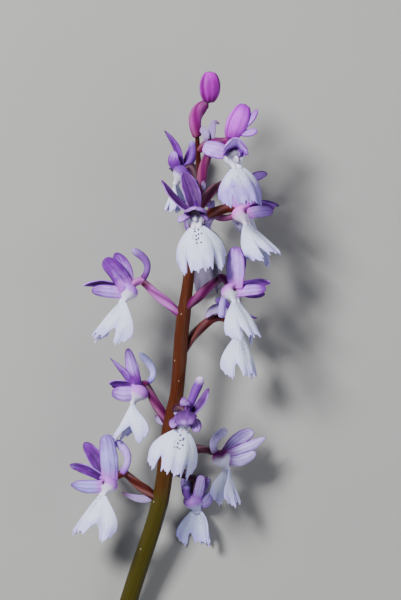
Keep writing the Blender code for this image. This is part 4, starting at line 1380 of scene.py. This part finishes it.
def turned(organ: Blade | Spur, bloom: Bloom) -> Blade | Spur:
    """A typical organ, turned to where the flower looks.

    Args:
        organ: The organ, on the flower's own axes.
        bloom: The flower.

    Returns:
        The organ on the spike's axes.
    """
    turn = own_axes(bloom)
    changes = {name: tuple(turn @ Vector(getattr(organ, name))) for name in ("tip", "bend")}
    if isinstance(organ, Blade):
        changes["face"] = tuple(turn @ Vector(organ.face))
    return replace(organ, **changes)


def organ_line(heart: Point, organ: Blade | Spur, face: Point) -> Line:
    """The line of a sepal, petal or spur, which starts inside the heart or a little off it.

    Args:
        heart: The flower's heart.
        organ: The sepal, petal or spur.
        face: Where its inner side looks.

    Returns:
        The line.
    """
    root = Vector(heart) + Vector(organ.root)
    tip = Vector(heart) + Vector(organ.tip)
    handle = root.lerp(tip, 0.5) + Vector(organ.bend) * 2
    start = root + (handle - root).normalized() * ROOT_DEPTH
    return Line.bowed(start, handle, tip, Vector(face))


@dataclass(frozen=True)
class FlowerPart:
    """A part of one flower: the flower's number from the foot of the spike, its form and its colours."""

    number: int
    bloom: Bloom
    tints: Tints

    def named(self, kind: str) -> str:
        """The name of the flower's piece of a kind."""
        return f"{kind}_{self.number:02d}"

    def node(self, kind: str) -> str:
        """The name of the flower's CAD node of a kind."""
        return f"flower_{self.number:02d}_{kind}"


@dataclass(frozen=True)
class Perianth(FlowerPart):
    """The three sepals and two petals of a flower."""

    grain: Leaf = Leaf(8, 18)
    spine: float = 0.1
    flare: float = 0.6
    wave: float = 0.14
    bunching: float = 1.25
    seed: int = 100

    def build(self) -> bpy.types.Object:
        """Models the sepals and petals and dresses them.

        Returns:
            The piece.
        """
        bloom = self.bloom
        blades = [getattr(bloom, kind) or turned(blade, bloom) for kind, blade in TYPICAL_BLADES.items()]
        draw = Random(self.seed + self.number)
        leaves = [self._blade(blade, shades, draw) for blade, shades in zip(blades, self.tints.shades)]
        name = self.named("sepals")
        finish = SepalFinish(name, self.tints.pale, self.tints.foot, self.tints.violet, self.tints.deep)
        return dressed(joined(name, leaves), name, Slot.PETALS, finish, self.node("petals"))

    def _blade(self, blade: Blade, shades: Shades, draw: Random) -> bpy.types.Object:
        """Models one sepal or petal.

        Args:
            blade: Its form.
            shades: How deep its violet is at foot, middle and tip.
            draw: The flower's random draws.

        Returns:
            The leaf.
        """
        line = organ_line(self.bloom.heart, blade, blade.face)
        phase = draw.uniform(0.0, math.tau)
        ripples = draw.uniform(1.6, 3.0)
        lean = draw.uniform(-0.12, 0.12)

        def surface(across: float, grid_along: float) -> Vector:
            """The blade's own surface.

            Args:
                across: The share across, from -1 to 1.
                grid_along: The grid's share along.

            Returns:
                The point on the blade.
            """
            share = 1 - (1 - grid_along) ** self.bunching
            point, _, side, face = line.at(share)
            half = self._half_width(blade, share)
            spread, fold = across, across * across
            rim = Vector()
            if blade.hood:
                turn = HOOD_ARCH * across
                out = side * math.sin(turn) - face * math.cos(turn)
                rim = out * (self.flare * smooth_step(0.68, 1.0, share))
                spread = math.sin(turn) / math.sin(HOOD_ARCH)
                fold = (1 - math.cos(turn)) / (1 - math.cos(HOOD_ARCH))
            rise = blade.cup * half * fold
            rise -= self.spine * bell(0.0, 0.25, across) * math.sin(math.pi * share)
            swell = math.sin(math.pi * share) * across * across
            rise += self.wave * math.sin(math.tau * ripples * share + phase + across) * swell
            drift = lean * half * math.sin(math.pi * share)
            return point + side * (spread * half + drift) + face * rise + rim

        def shade(across: float, along: float) -> float:
            """How deep the violet is at a place.

            Args:
                across: The share across, from -1 to 1.
                along: The share along.

            Returns:
                The depth of the violet.
            """
            foot, middle, tip = shades
            lower = (middle - foot) * smooth_step(0.0, 0.5, along)
            return foot + lower + (tip - middle) * smooth_step(0.5, 1.0, along)

        return self.grain.build(surface, {"shade": shade})

    @staticmethod
    def _half_width(blade: Blade, share: float) -> float:
        """Half the blade's width at a share of its length.

        Args:
            blade: The blade.
            share: Its share of the length, from 0 to 1.

        Returns:
            Half the width in millimetres.
        """
        half = blade.width / 2
        if share < blade.widest:
            return half * (blade.foot + (1 - blade.foot) * math.sin(math.pi / 2 * share / blade.widest))
        past = (share - blade.widest) / (1 - blade.widest)
        return half * max((1 - past * past) ** blade.point, 0.05)


@dataclass(frozen=True)
class LipSheet(FlowerPart):
    """The white lip of a flower: an arched sheet of three lobes with toothed ends."""

    grain: Leaf = Leaf(90, 16, 0.4)
    tooth: float = 0.06
    teeth: int = 40
    frill: float = 0.22
    frill_pitch: float = 1.9
    fold: float = 0.25
    full_swing: float = 20.0
    full_spread: float = 0.62
    dots: Colour = tone(58, 14, 84)
    shift: float = 3.7
    seed: int = 200

    def build(self) -> bpy.types.Object:
        """Models the lip and dresses it.

        Returns:
            The piece.
        """
        lip = self.bloom.lip
        half = (*MIDDLE_LOBE, (*NOTCH_PLACE, lip.notch), *SIDE_LOBE)
        edge = [(-base, -end, reach) for base, end, reach in reversed(half[1:])] + list(half)
        draw = Random(self.seed + self.number)
        teeth = [draw.uniform(0.3, 1.0) for _ in range(self.teeth)]
        phase = draw.uniform(0.0, math.tau)
        start = direction(THROAT_LEAN) * LIP_START
        last = len(edge) - 1
        lines: dict[float, Line] = {}

        def plan(across: float, down: float) -> tuple[float, float, float, float]:
            """The share down the line, the turned width, the place on the edge and the tooth's place.

            Args:
                across: The share across, from -1 to 1.
                down: The share down to the edge.

            Returns:
                These numbers, in this order.
            """
            place = (across + 1) / 2 * last
            low = min(int(place + 1e-6), last - 1)
            base, end, reach = (a + (b - a) * (place - low) for a, b in zip(edge[low], edge[low + 1]))
            reach -= self._teeth(place, teeth) * smooth_step(0.55, 0.8, reach)
            share = reach * down
            width = (base + (end - base) * down) * self._half_width(share) * lip.size
            return share, width, end, place

        def surface(across: float, down: float) -> Vector:
            """The lip's own surface.

            Args:
                across: The share across, from -1 to 1.
                down: The share down to the edge.

            Returns:
                The point on the lip.
            """
            share, width, end, place = plan(across, down)
            key = round(end, 4)
            if key not in lines:
                lines[key] = Line.walking(start, LIP_LENGTH * lip.size, self._lobe_lean(lip, end), lip.curl)
            point, _, side, face = lines[key].at(share)
            arch = lip.arch
            if end * lip.swing < 0:
                arch *= 1 + abs(lip.swing) / self.full_swing
            turn = width / arch
            way = side * math.sin(turn) - face * math.cos(turn)
            rise = self.frill * math.sin(place * self.frill_pitch + phase) * smooth_step(0.45, 1.0, down)
            folded = bell(0.0, 0.12, width / LIP_HALF_WIDTH) * math.sin(math.pi * min(share * 1.2, 1.0))
            rise -= self.fold * folded
            return point + side * (arch * math.sin(turn)) + face * (arch * (1 - math.cos(turn))) + way * rise

        marks = {
            "flat_across": lambda across, down: plan(across, down)[1],
            "flat_along": lambda across, down: plan(across, down)[0] * LIP_LENGTH,
        }
        sheet = self.grain.build(surface, marks)
        sheet.data.transform(Matrix.Scale(1 / METRES, 4))
        sheet.data.transform(placing(self.bloom))
        sheet.data.transform(Matrix.Scale(METRES, 4))
        name = self.named("lip")
        tints = self.tints
        finish = LipFinish(
            name, tints.lip, tints.lip_rim, tints.rim_from, self.dots, tints.dotted, self.number * self.shift
        )
        return dressed(sheet, name, Slot.LIP, finish, self.node("lip"))

    @staticmethod
    def _lobe_lean(lip: Hang, end: float) -> float:
        """The lean of the lip at its neck, for a place across its edge."""
        aside = smooth_step(0.3, 0.62, abs(end))
        return lip.lean - aside * (lip.droop + math.copysign(lip.swing, end))

    def _teeth(self, place: float, teeth: list[float]) -> float:
        """How far the end is cut back between two teeth."""
        depth = teeth[int(place) % len(teeth)]
        return self.tooth * depth * (1 - abs(2 * (place % 1.0) - 1)) * 2

    def _half_width(self, share: float) -> float:
        """Half the lip's width, measured round its arch, at a share of its length."""
        spread = math.sin(math.pi / 2 * min(share / self.full_spread, 1.0))
        return LIP_NECK + (LIP_HALF_WIDTH - LIP_NECK) * spread


@dataclass(frozen=True)
class Throat(FlowerPart):
    """The waxy funnel between the heart and the lip, with the hollow under the column."""

    grain: Round = Round(28, 26)
    column_grain: Round = Round(14, 14)
    column_root: Point = (0.0, 0.2, 0.0)
    column_curl: float = -14.0
    above: float = 1.5
    below: float = 1.1
    widest: float = 2.75
    neck: float = 1.4
    crown: float = 0.32
    front_flat: float = 0.88
    back_flat: float = 0.35
    hollow: float = 1.3
    hollow_place: float = 0.42
    hooded_place: float = 0.54
    hollow_length: float = 0.13
    # Painted shade for the hollow under the column, also the brown of the anther slits.
    inside: Colour = tone(62, 22, 36)
    long_column: float = 3.5
    hanging: float = -30.0

    def build(self) -> bpy.types.Object:
        """Models the funnel and the column and dresses them.

        Returns:
            The piece.
        """
        way = direction(THROAT_LEAN)
        length = self.above + THROAT_LENGTH + self.below
        line = Line.walking(-way * self.above, length, THROAT_LEAN, 0.0).placed(placing(self.bloom))
        # The hollow mark sets where the hollow's painted shade shows.
        funnel = self.grain.build(line, self._radius, marks={"hollow": self._depth})
        reach, lean = (self.long_column, self.hanging) if self._hooded() else (COLUMN_LENGTH, COLUMN_LEAN)
        column_line = Line.walking(self.column_root, reach, lean, self.column_curl)
        column_line = column_line.placed(placing(self.bloom))
        column = self.column_grain.build(column_line, self._column_radius, marks={"hollow": self._anther})
        name = self.named("throat")
        tints = self.tints
        finish = ThroatFinish(name, tints.throat, tints.above, tints.reach, self.inside)
        return dressed(joined(name, [funnel, column]), name, Slot.PETALS, finish)

    def _depth(self, share: float, angle: float) -> float:
        """How deep the hollow is at a place, from 0 to 1. It lies on the front, below the column."""
        # The same share sets how strongly the hollow's painted shade shows.
        place = self.hooded_place if self._hooded() else self.hollow_place
        return smooth_step(0.55, 0.9, max(-math.sin(angle), 0.0)) * bell(place, self.hollow_length, share)

    def _hooded(self) -> bool:
        """Whether the top sepal arches over the hollow, so that the column shows under it."""
        return self.bloom.top is not None and self.bloom.top.hood

    def _radius(self, share: float, angle: float) -> float:
        """The funnel's radius: round above, and flattened towards the lip below.

        Args:
            share: Its share of the length, from 0 to 1.
            angle: The angle round the line, in radians.

        Returns:
            The radius in millimetres.
        """
        top = 1.0
        if share < self.crown:
            top = math.sqrt(max(1 - ((self.crown - share) / self.crown) ** 2, 0.0))
        radius = top * (self.widest + (self.neck - self.widest) * smooth_step(0.35, 0.85, share))
        front = max(-math.sin(angle), 0.0)
        back = max(math.sin(angle), 0.0)
        flat = smooth_step(0.5, 0.85, share)
        radius *= 1 - flat * (self.front_flat * front**1.5 + self.back_flat * back)
        return radius - self.hollow * self._depth(share, angle)

    @staticmethod
    def _column_radius(share: float, angle: float) -> float:
        """The column's radius: a short post that tapers to a beak, with an anther on each side.

        Args:
            share: Its share of the length, from 0 to 1.
            angle: The angle round the line, in radians.

        Returns:
            The radius in millimetres.
        """
        end = math.sqrt(max(1 - max((share - 0.45) / 0.55, 0.0) ** 2, 0.0))
        anthers = 1 + 0.12 * bell(0.5, 0.25, share) * abs(math.cos(angle))
        return COLUMN_RADIUS * end * anthers

    @staticmethod
    def _anther(share: float, angle: float) -> float:
        """Where the column is brown: a slit along each side."""
        return 0.8 * smooth_step(0.3, 0.5, share) * bell(0.72, 0.22, abs(math.cos(angle)))


@dataclass(frozen=True)
class Horn(FlowerPart):
    """The blunt hollow spur behind a flower."""

    grain: Round = Round(18, 30)
    groove: float = 0.07
    slim: float = 0.86
    swell: float = 0.24
    club: float = 0.85

    def build(self) -> bpy.types.Object:
        """Models the spur and dresses it.

        Returns:
            The piece.
        """
        spur = self.bloom.spur or turned(TYPICAL_SPUR, self.bloom)
        line = organ_line(self.bloom.heart, spur, (0.3, 0.2, 1.0))

        def radius(share: float, angle: float) -> float:
            """The radius at a place, with a groove along the spur."""
            groove = 1 - self.groove * bell(0.0, 0.5, math.sin(angle / 2)) * math.sin(math.pi * share)
            return spur.radius * self._swelling(share) * groove

        horn = self.grain.build(line, radius)
        name = self.named("spur")
        finish = SpurFinish(name, self.tints.spur, self.tints.spur_foot, self.tints.spur_tip)
        return dressed(horn, name, Slot.PETALS, finish)

    def _swelling(self, share: float) -> float:
        """The spur is slim behind the heart and swells to a blunt club at its tip.

        Args:
            share: Its share of the length, from 0 to 1.

        Returns:
            The share of the spur's radius.
        """
        body = self.slim + self.swell * smooth_step(0.2, 0.75, share)
        past = max((share - self.club) / (1 - self.club), 0.0)
        return body * math.sqrt(max(1 - past**2, 0.0))


# The stem and the stalks


def stem_at(y: float) -> tuple[Vector, float]:
    """The stem's middle and radius at a height, on a smooth line through its stations.

    Args:
        y: The height.

    Returns:
        The middle and the radius.
    """
    last = len(STEM) - 2
    low = next((i for i in range(last) if y < STEM[i + 1][1]), last)
    first, second = STEM[low], STEM[low + 1]
    span = second[1] - first[1]
    t = (y - first[1]) / span

    def slope(index: int, part: int) -> float:
        """How steeply a number changes at a station, over this span."""
        before, after = STEM[max(index - 1, 0)], STEM[min(index + 1, len(STEM) - 1)]
        return (after[part] - before[part]) / (after[1] - before[1]) * span

    def blend(part: int) -> float:
        """A number of the stem between its stations.

        Args:
            part: Which number of the stations.

        Returns:
            Its value at the height.
        """
        return (
            first[part] * (2 * t**3 - 3 * t**2 + 1)
            + slope(low, part) * (t**3 - 2 * t**2 + t)
            + second[part] * (3 * t**2 - 2 * t**3)
            + slope(low + 1, part) * (t**3 - t**2)
        )

    return Vector((blend(0), y, blend(2))), blend(3)


@dataclass(frozen=True)
class Stem:
    """The main stem, from its cut end to the topmost stalk."""

    grain: Round = Round(40, 166, 3)
    stations: int = 80
    rib: float = 0.035
    ribs: int = 6
    twist: float = 5.0
    joint: float = 1.3
    joint_swell: float = 0.04
    joint_limit: float = 1.5
    finish: StemFinish = StemFinish(
        "stem", tone(56, 52, 6), tone(66, 33, 18), tone(56, 18, 20), tone(150, 150, 90)
    )

    def build(self) -> bpy.types.Object:
        """Models the stem and dresses it.

        Returns:
            The piece.
        """
        bottom, top = STEM[0][1], STEM[-1][1]
        heights = [bottom + (top - bottom) * step / self.stations for step in range(self.stations + 1)]
        line = Line.through([stem_at(y)[0] for y in heights], Vector((0, 0, -1)))
        joints = [bloom.foot for bloom in BLOOMS]

        def radius(share: float, angle: float) -> float:
            """The stem's radius, with its ribs and its joints.

            Args:
                share: Its share of the length, from 0 to 1.
                angle: The angle round the line, in radians.

            Returns:
                The radius in millimetres.
            """
            y = bottom + (top - bottom) * share
            swell = sum(bell(joint, self.joint, y) for joint in joints)
            ribs = 1 + self.rib * math.cos(self.ribs * angle + share * self.twist)
            return stem_at(y)[1] * ribs * (1 + self.joint_swell * min(swell, self.joint_limit))

        def cut(share: float, angle: float) -> float:
            """1 on the cut end."""
            return 1.0 if share <= 0 else 0.0

        stem = self.grain.build(line, radius, marks={"cut": cut})
        return dressed(stem, "main_stem", Slot.STEM, self.finish, "stem")


@dataclass(frozen=True)
class Ovary(FlowerPart):
    """The twisted, ribbed ovary on which a flower stands, with the bract at its foot."""

    grain: Round = Round(30, 30)
    knot_grain: Round = Round(18, 14, 3)
    knot_radius: float = 1.02
    knot_taper: float = 0.12
    knot_overlap: float = 0.7
    bract_grain: Leaf = Leaf(6, 12, 0.3)
    bract_place: float = 0.16
    handle: float = 0.35
    end_handle: float = 0.4
    slim: float = 0.74
    swell: float = 0.28

    def build(self) -> list[bpy.types.Object]:
        """Models the ovary and its bract and dresses them.

        Returns:
            The pieces.
        """
        line = self._line()
        body = self.grain.build(line, self._radius, STALK_TWIST)
        if self.bloom.knot:
            body = joined("ovary", [body, self._knot(line.frames[-1])])
        name = self.named("ovary")
        finish = StalkFinish(name, self.tints.ovary_foot, self.tints.ovary, self.tints.knot)
        ovary = dressed(body, name, Slot.STALK, finish, self.node("stalk"))
        if not self.bloom.bract:
            return [ovary]
        point, along, _, _ = line.at(self.bract_place)
        down = (Vector((0, -1, 0)) + along * along.y).normalized()
        length = self.bloom.bract
        root = point + down * 0.15
        middle = root + (along * 0.8 + down).normalized() * (length * 0.5)
        tip = root + (along + down * 0.55).normalized() * length
        bract = bract_leaf(self.bract_grain, root, middle, tip, Vector((0.0, 0.3, 1.0)))
        return [ovary, dressed(bract, self.named("bract"), Slot.STALK, BRACT_FINISH)]

    def _knot(self, last: Frame) -> bpy.types.Object:
        """Models the bend from the knot to the heart.

        Args:
            last: The end of the ovary's line.

        Returns:
            The bend.
        """
        heart = Vector(self.bloom.heart)
        start = last.point - last.along * self.knot_overlap
        line = Line.bowed(start, last.point + last.along * 0.8, heart, last.face)
        return self.knot_grain.build(line, lambda share, angle: self.knot_radius - self.knot_taper * share)

    def _line(self) -> Line:
        """The ovary's line from the stem's middle to its knot, or to the heart from behind.

        Returns:
            The line.
        """
        bloom = self.bloom
        foot, _ = stem_at(bloom.foot)
        end = Vector(bloom.heart) + Vector(bloom.knot or (0.0, 0.0, 0.0))
        reach = (end - foot).length
        outward = (end - foot).normalized()
        arch = Vector((0.0, bloom.bow, 0.0))
        behind = arch - outward if bloom.knot else own_axes(bloom) @ direction(180 - bloom.rise)
        handle = foot + (outward + arch) * (self.handle * reach)
        end_handle = end + behind * (self.end_handle * reach)
        return Line.bezier(foot, handle, end_handle, end, Vector((0, -1, 0.2)))

    def _radius(self, share: float, angle: float) -> float:
        """The ovary's radius, a little fuller in its middle than at its ends.

        Args:
            share: Its share of the length, from 0 to 1.
            angle: The angle round the line, in radians.

        Returns:
            The radius in millimetres.
        """
        swell = self.slim + self.swell * math.sin(math.pi * share)
        rib = STALK_RIB * (math.cos(3 * angle) + 0.35 * math.cos(6 * angle))
        return STALK_RADIUS * swell * (1 + rib * math.sin(math.pi * min(share * 1.1, 1.0)))


BRACT_FINISH = BractFinish("bract", tone(164, 148, 192), tone(104, 64, 128), tone(96, 64, 92))


def bract_leaf(
    grain: Leaf,
    root: Vector,
    middle: Vector,
    tip: Vector,
    face: Vector,
    widest: float = 0.3,
    point: float = 0.9,
) -> bpy.types.Object:
    """Models a narrow papery leaf along a bowed line.

    Args:
        grain: Its grain.
        root: Where it starts.
        middle: The handle in its middle.
        tip: Where it ends.
        face: The way its inner face looks.
        widest: The share of its length at which it is widest.
        point: How sharp its tip is.

    Returns:
        The leaf.
    """
    line = Line.bowed(root, middle, tip, face)

    def surface(across: float, share: float) -> Vector:
        """The leaf's own surface.

        Args:
            across: The share across, from -1 to 1.
            share: Its share of the length, from 0 to 1.

        Returns:
            The point on the leaf.
        """
        place, _, side, inner = line.at(share)
        if share < widest:
            half = 0.5 + 0.5 * math.sin(math.pi / 2 * share / widest)
        else:
            half = max((1 - ((share - widest) / (1 - widest)) ** 2) ** point, 0.04)
        return place + side * (across * half) + inner * (-0.3 * half * across * across)

    return grain.build(surface)


@dataclass(frozen=True)
class BudPiece:
    """A bud with its stalk, its bracts and the sepals that have come free of it."""

    number: int
    bud: Bud
    finish: BudFinish
    stalk_finish: StalkFinish
    grain: Round = Round(36, 30)
    stalk_grain: Round = Round(24, 30)
    leaf_grain: Leaf = Leaf(6, 14, 0.4)
    twist: float = 25.0
    seam_depth: float = 0.09
    fold: float = 0.05
    slim: float = 0.62
    swell: float = 0.4
    stem_margin: float = 0.8
    bract_face: Point = (-0.3, 0.2, 1.0)
    sepal_face: Point = (-0.6, 0.3, 1.0)
    sepal_shade: float = 0.25

    def named(self, kind: str) -> str:
        """The name of the bud's piece of a kind."""
        return f"bud_{kind}_{self.number:02d}"

    def build(self) -> list[bpy.types.Object]:
        """Models the bud and its stalk and dresses them.

        Returns:
            The pieces.
        """
        bud = self.bud
        up = Vector((0, 0, 1))
        foot, tip = Vector(bud.foot), Vector(bud.tip)
        line = Line.through([foot.lerp(tip, step / 8) for step in range(9)], up)
        body = self.grain.build(line, self._radius, self.twist, marks={"seam": self._seam})
        node = f"bud_{self.number:02d}"
        pieces = [dressed(body, self.named("body"), Slot.BUD, self.finish, node)]
        if bud.sepals:
            sepals = joined("free_sepals", [self._free_sepal(foot, tip, *ends) for ends in bud.sepals])
            finish = SepalFinish("free_sepals", *FREE_SEPAL_COLOURS)
            pieces.append(dressed(sepals, "free_sepals", Slot.BUD, finish))
        start, _ = stem_at(min(bud.stem_foot, STEM[-1][1] - self.stem_margin))
        stalk_line = Line.bezier(start, Vector(bud.handle), Vector(bud.end_handle), foot, up)
        stalk = self.stalk_grain.build(stalk_line, self._stalk_radius, STALK_TWIST)
        pieces.append(dressed(stalk, self.named("stalk"), Slot.STALK, self.stalk_finish, f"{node}_stalk"))
        corners = [[Vector(corner) for corner in bract] for bract in bud.bracts]
        leaves = [bract_leaf(self.leaf_grain, *bract, Vector(self.bract_face)) for bract in corners]
        name = self.named("bracts")
        pieces.append(dressed(joined(name, leaves), name, Slot.STALK, BRACT_FINISH))
        return pieces

    def _radius(self, share: float, angle: float) -> float:
        """A bud is blunt at its foot, fullest in its middle and rounded at its tip.

        Args:
            share: Its share of the length, from 0 to 1.
            angle: The angle round the line, in radians.

        Returns:
            The radius in millimetres.
        """
        swell = max(math.sin(math.pi * (0.015 + 0.97 * share)), 0.0) ** 0.4
        folds = 1 + self.fold * math.cos(3 * angle)
        return self.bud.width / 2 * swell * folds * (1 - self.seam_depth * self._seam(share, angle))

    @staticmethod
    def _seam(share: float, angle: float) -> float:
        """1 in the seams between the folded sepals."""
        return bell(0.0, 0.16, math.sin(1.5 * angle)) * smooth_step(0.0, 0.2, share)

    def _stalk_radius(self, share: float, angle: float) -> float:
        """The stalk of a bud, fuller in its middle."""
        swell = self.slim + self.swell * math.sin(math.pi * share)
        return self.bud.stalk_radius * swell * (1 + STALK_RIB * math.cos(3 * angle))

    def _free_sepal(self, foot: Vector, tip: Vector, root: Point, end: Point) -> bpy.types.Object:
        """Models a sepal whose tip stands off the bud.

        Args:
            foot: The bud's foot.
            tip: The bud's tip.
            root: Where the sepal comes free.
            end: Its tip.

        Returns:
            The leaf.
        """
        start, stop = Vector(root), Vector(end)
        inner = start.lerp(foot.lerp(tip, 0.3), 0.5)
        middle = start.lerp(stop, 0.4)
        leaf = bract_leaf(self.leaf_grain, inner, middle, stop, Vector(self.sepal_face), 0.65, 0.5)
        paint_attribute(leaf, "shade", [self.sepal_shade] * len(leaf.data.vertices))
        return leaf


# The studio


class Lamp(NamedTuple):
    """A square soft lamp: its name, its place, its side, its power in watts and its colour."""

    name: str
    place: Point
    side: float
    power: float
    colour: Colour


@dataclass(frozen=True)
class Studio:
    """A plain pale floor, soft light and the camera that looks down on the spike."""

    aim: Point = (6.25, 21.4, 18.0)
    height: float = 700.0
    field: float = 150.0
    sensor: float = 36.0
    floor_side: float = 4000.0
    lamps: tuple[Lamp, ...] = (
        Lamp("key", (-380.0, 360.0, 640.0), 210.0, 13.2, (1.0, 0.99, 0.97)),
        Lamp("fill", (520.0, -160.0, 520.0), 420.0, 1.7, (0.94, 0.96, 1.0)),
        Lamp("low", (60.0, -620.0, 240.0), 300.0, 1.0, (1.0, 0.97, 0.95)),
    )
    lit: Point = (0.0, 0.0, 15.0)
    sky: Colour = (0.82, 0.86, 0.95)
    sky_strength: float = 0.15

    def build(self) -> None:
        """Sets up the floor, the lights and the camera."""
        deselect_all()
        bpy.ops.mesh.primitive_plane_add(size=self.floor_side * METRES)
        floor = bpy.context.object
        floor.name = "floor"
        floor.data.materials.append(FloorFinish().material())
        for lamp in self.lamps:
            self._hang(lamp)
        world = bpy.data.worlds.new("studio")
        world.use_nodes = True
        background = world.node_tree.nodes["Background"]
        background.inputs["Color"].default_value = (*self.sky, 1.0)
        background.inputs["Strength"].default_value = self.sky_strength
        bpy.context.scene.world = world
        lens = bpy.data.cameras.new("camera")
        lens.sensor_fit = "VERTICAL"
        lens.sensor_height = self.sensor
        lens.lens = self.sensor * self.height / self.field
        camera = bpy.data.objects.new("camera", lens)
        camera.location = Vector((self.aim[0], self.aim[1], self.aim[2] + self.height)) * METRES
        bpy.context.scene.collection.objects.link(camera)
        bpy.context.scene.camera = camera

    def _hang(self, lamp: Lamp) -> None:
        """Adds a lamp that looks at the spike.

        Args:
            lamp: The lamp.
        """
        light = bpy.data.lights.new(lamp.name, "AREA")
        light.size = lamp.side * METRES
        light.energy = lamp.power
        light.color = lamp.colour
        holder = bpy.data.objects.new(lamp.name, light)
        holder.location = Vector(lamp.place) * METRES
        way = (Vector(self.lit) - Vector(lamp.place)).normalized()
        holder.rotation_euler = way.to_track_quat("-Z", "Y").to_euler()
        bpy.context.scene.collection.objects.link(holder)


def main() -> None:
    """Builds the pieces in order and reports each one."""
    logging.basicConfig(level=logging.INFO, format="%(message)s")
    Studio().build()
    Stem().build()
    for number, (bloom, tints) in enumerate(zip(BLOOMS, TINTS), 1):
        Ovary(number, bloom, tints).build()
        Perianth(number, bloom, tints).build()
        Horn(number, bloom, tints).build()
        Throat(number, bloom, tints).build()
        LipSheet(number, bloom, tints).build()
    for number, (bud, finish, stalk_finish) in enumerate(zip(BUDS, BUD_FINISHES, BUD_STALK_FINISHES), 1):
        BudPiece(number, bud, finish, stalk_finish).build()


if __name__ == "__main__":
    main()
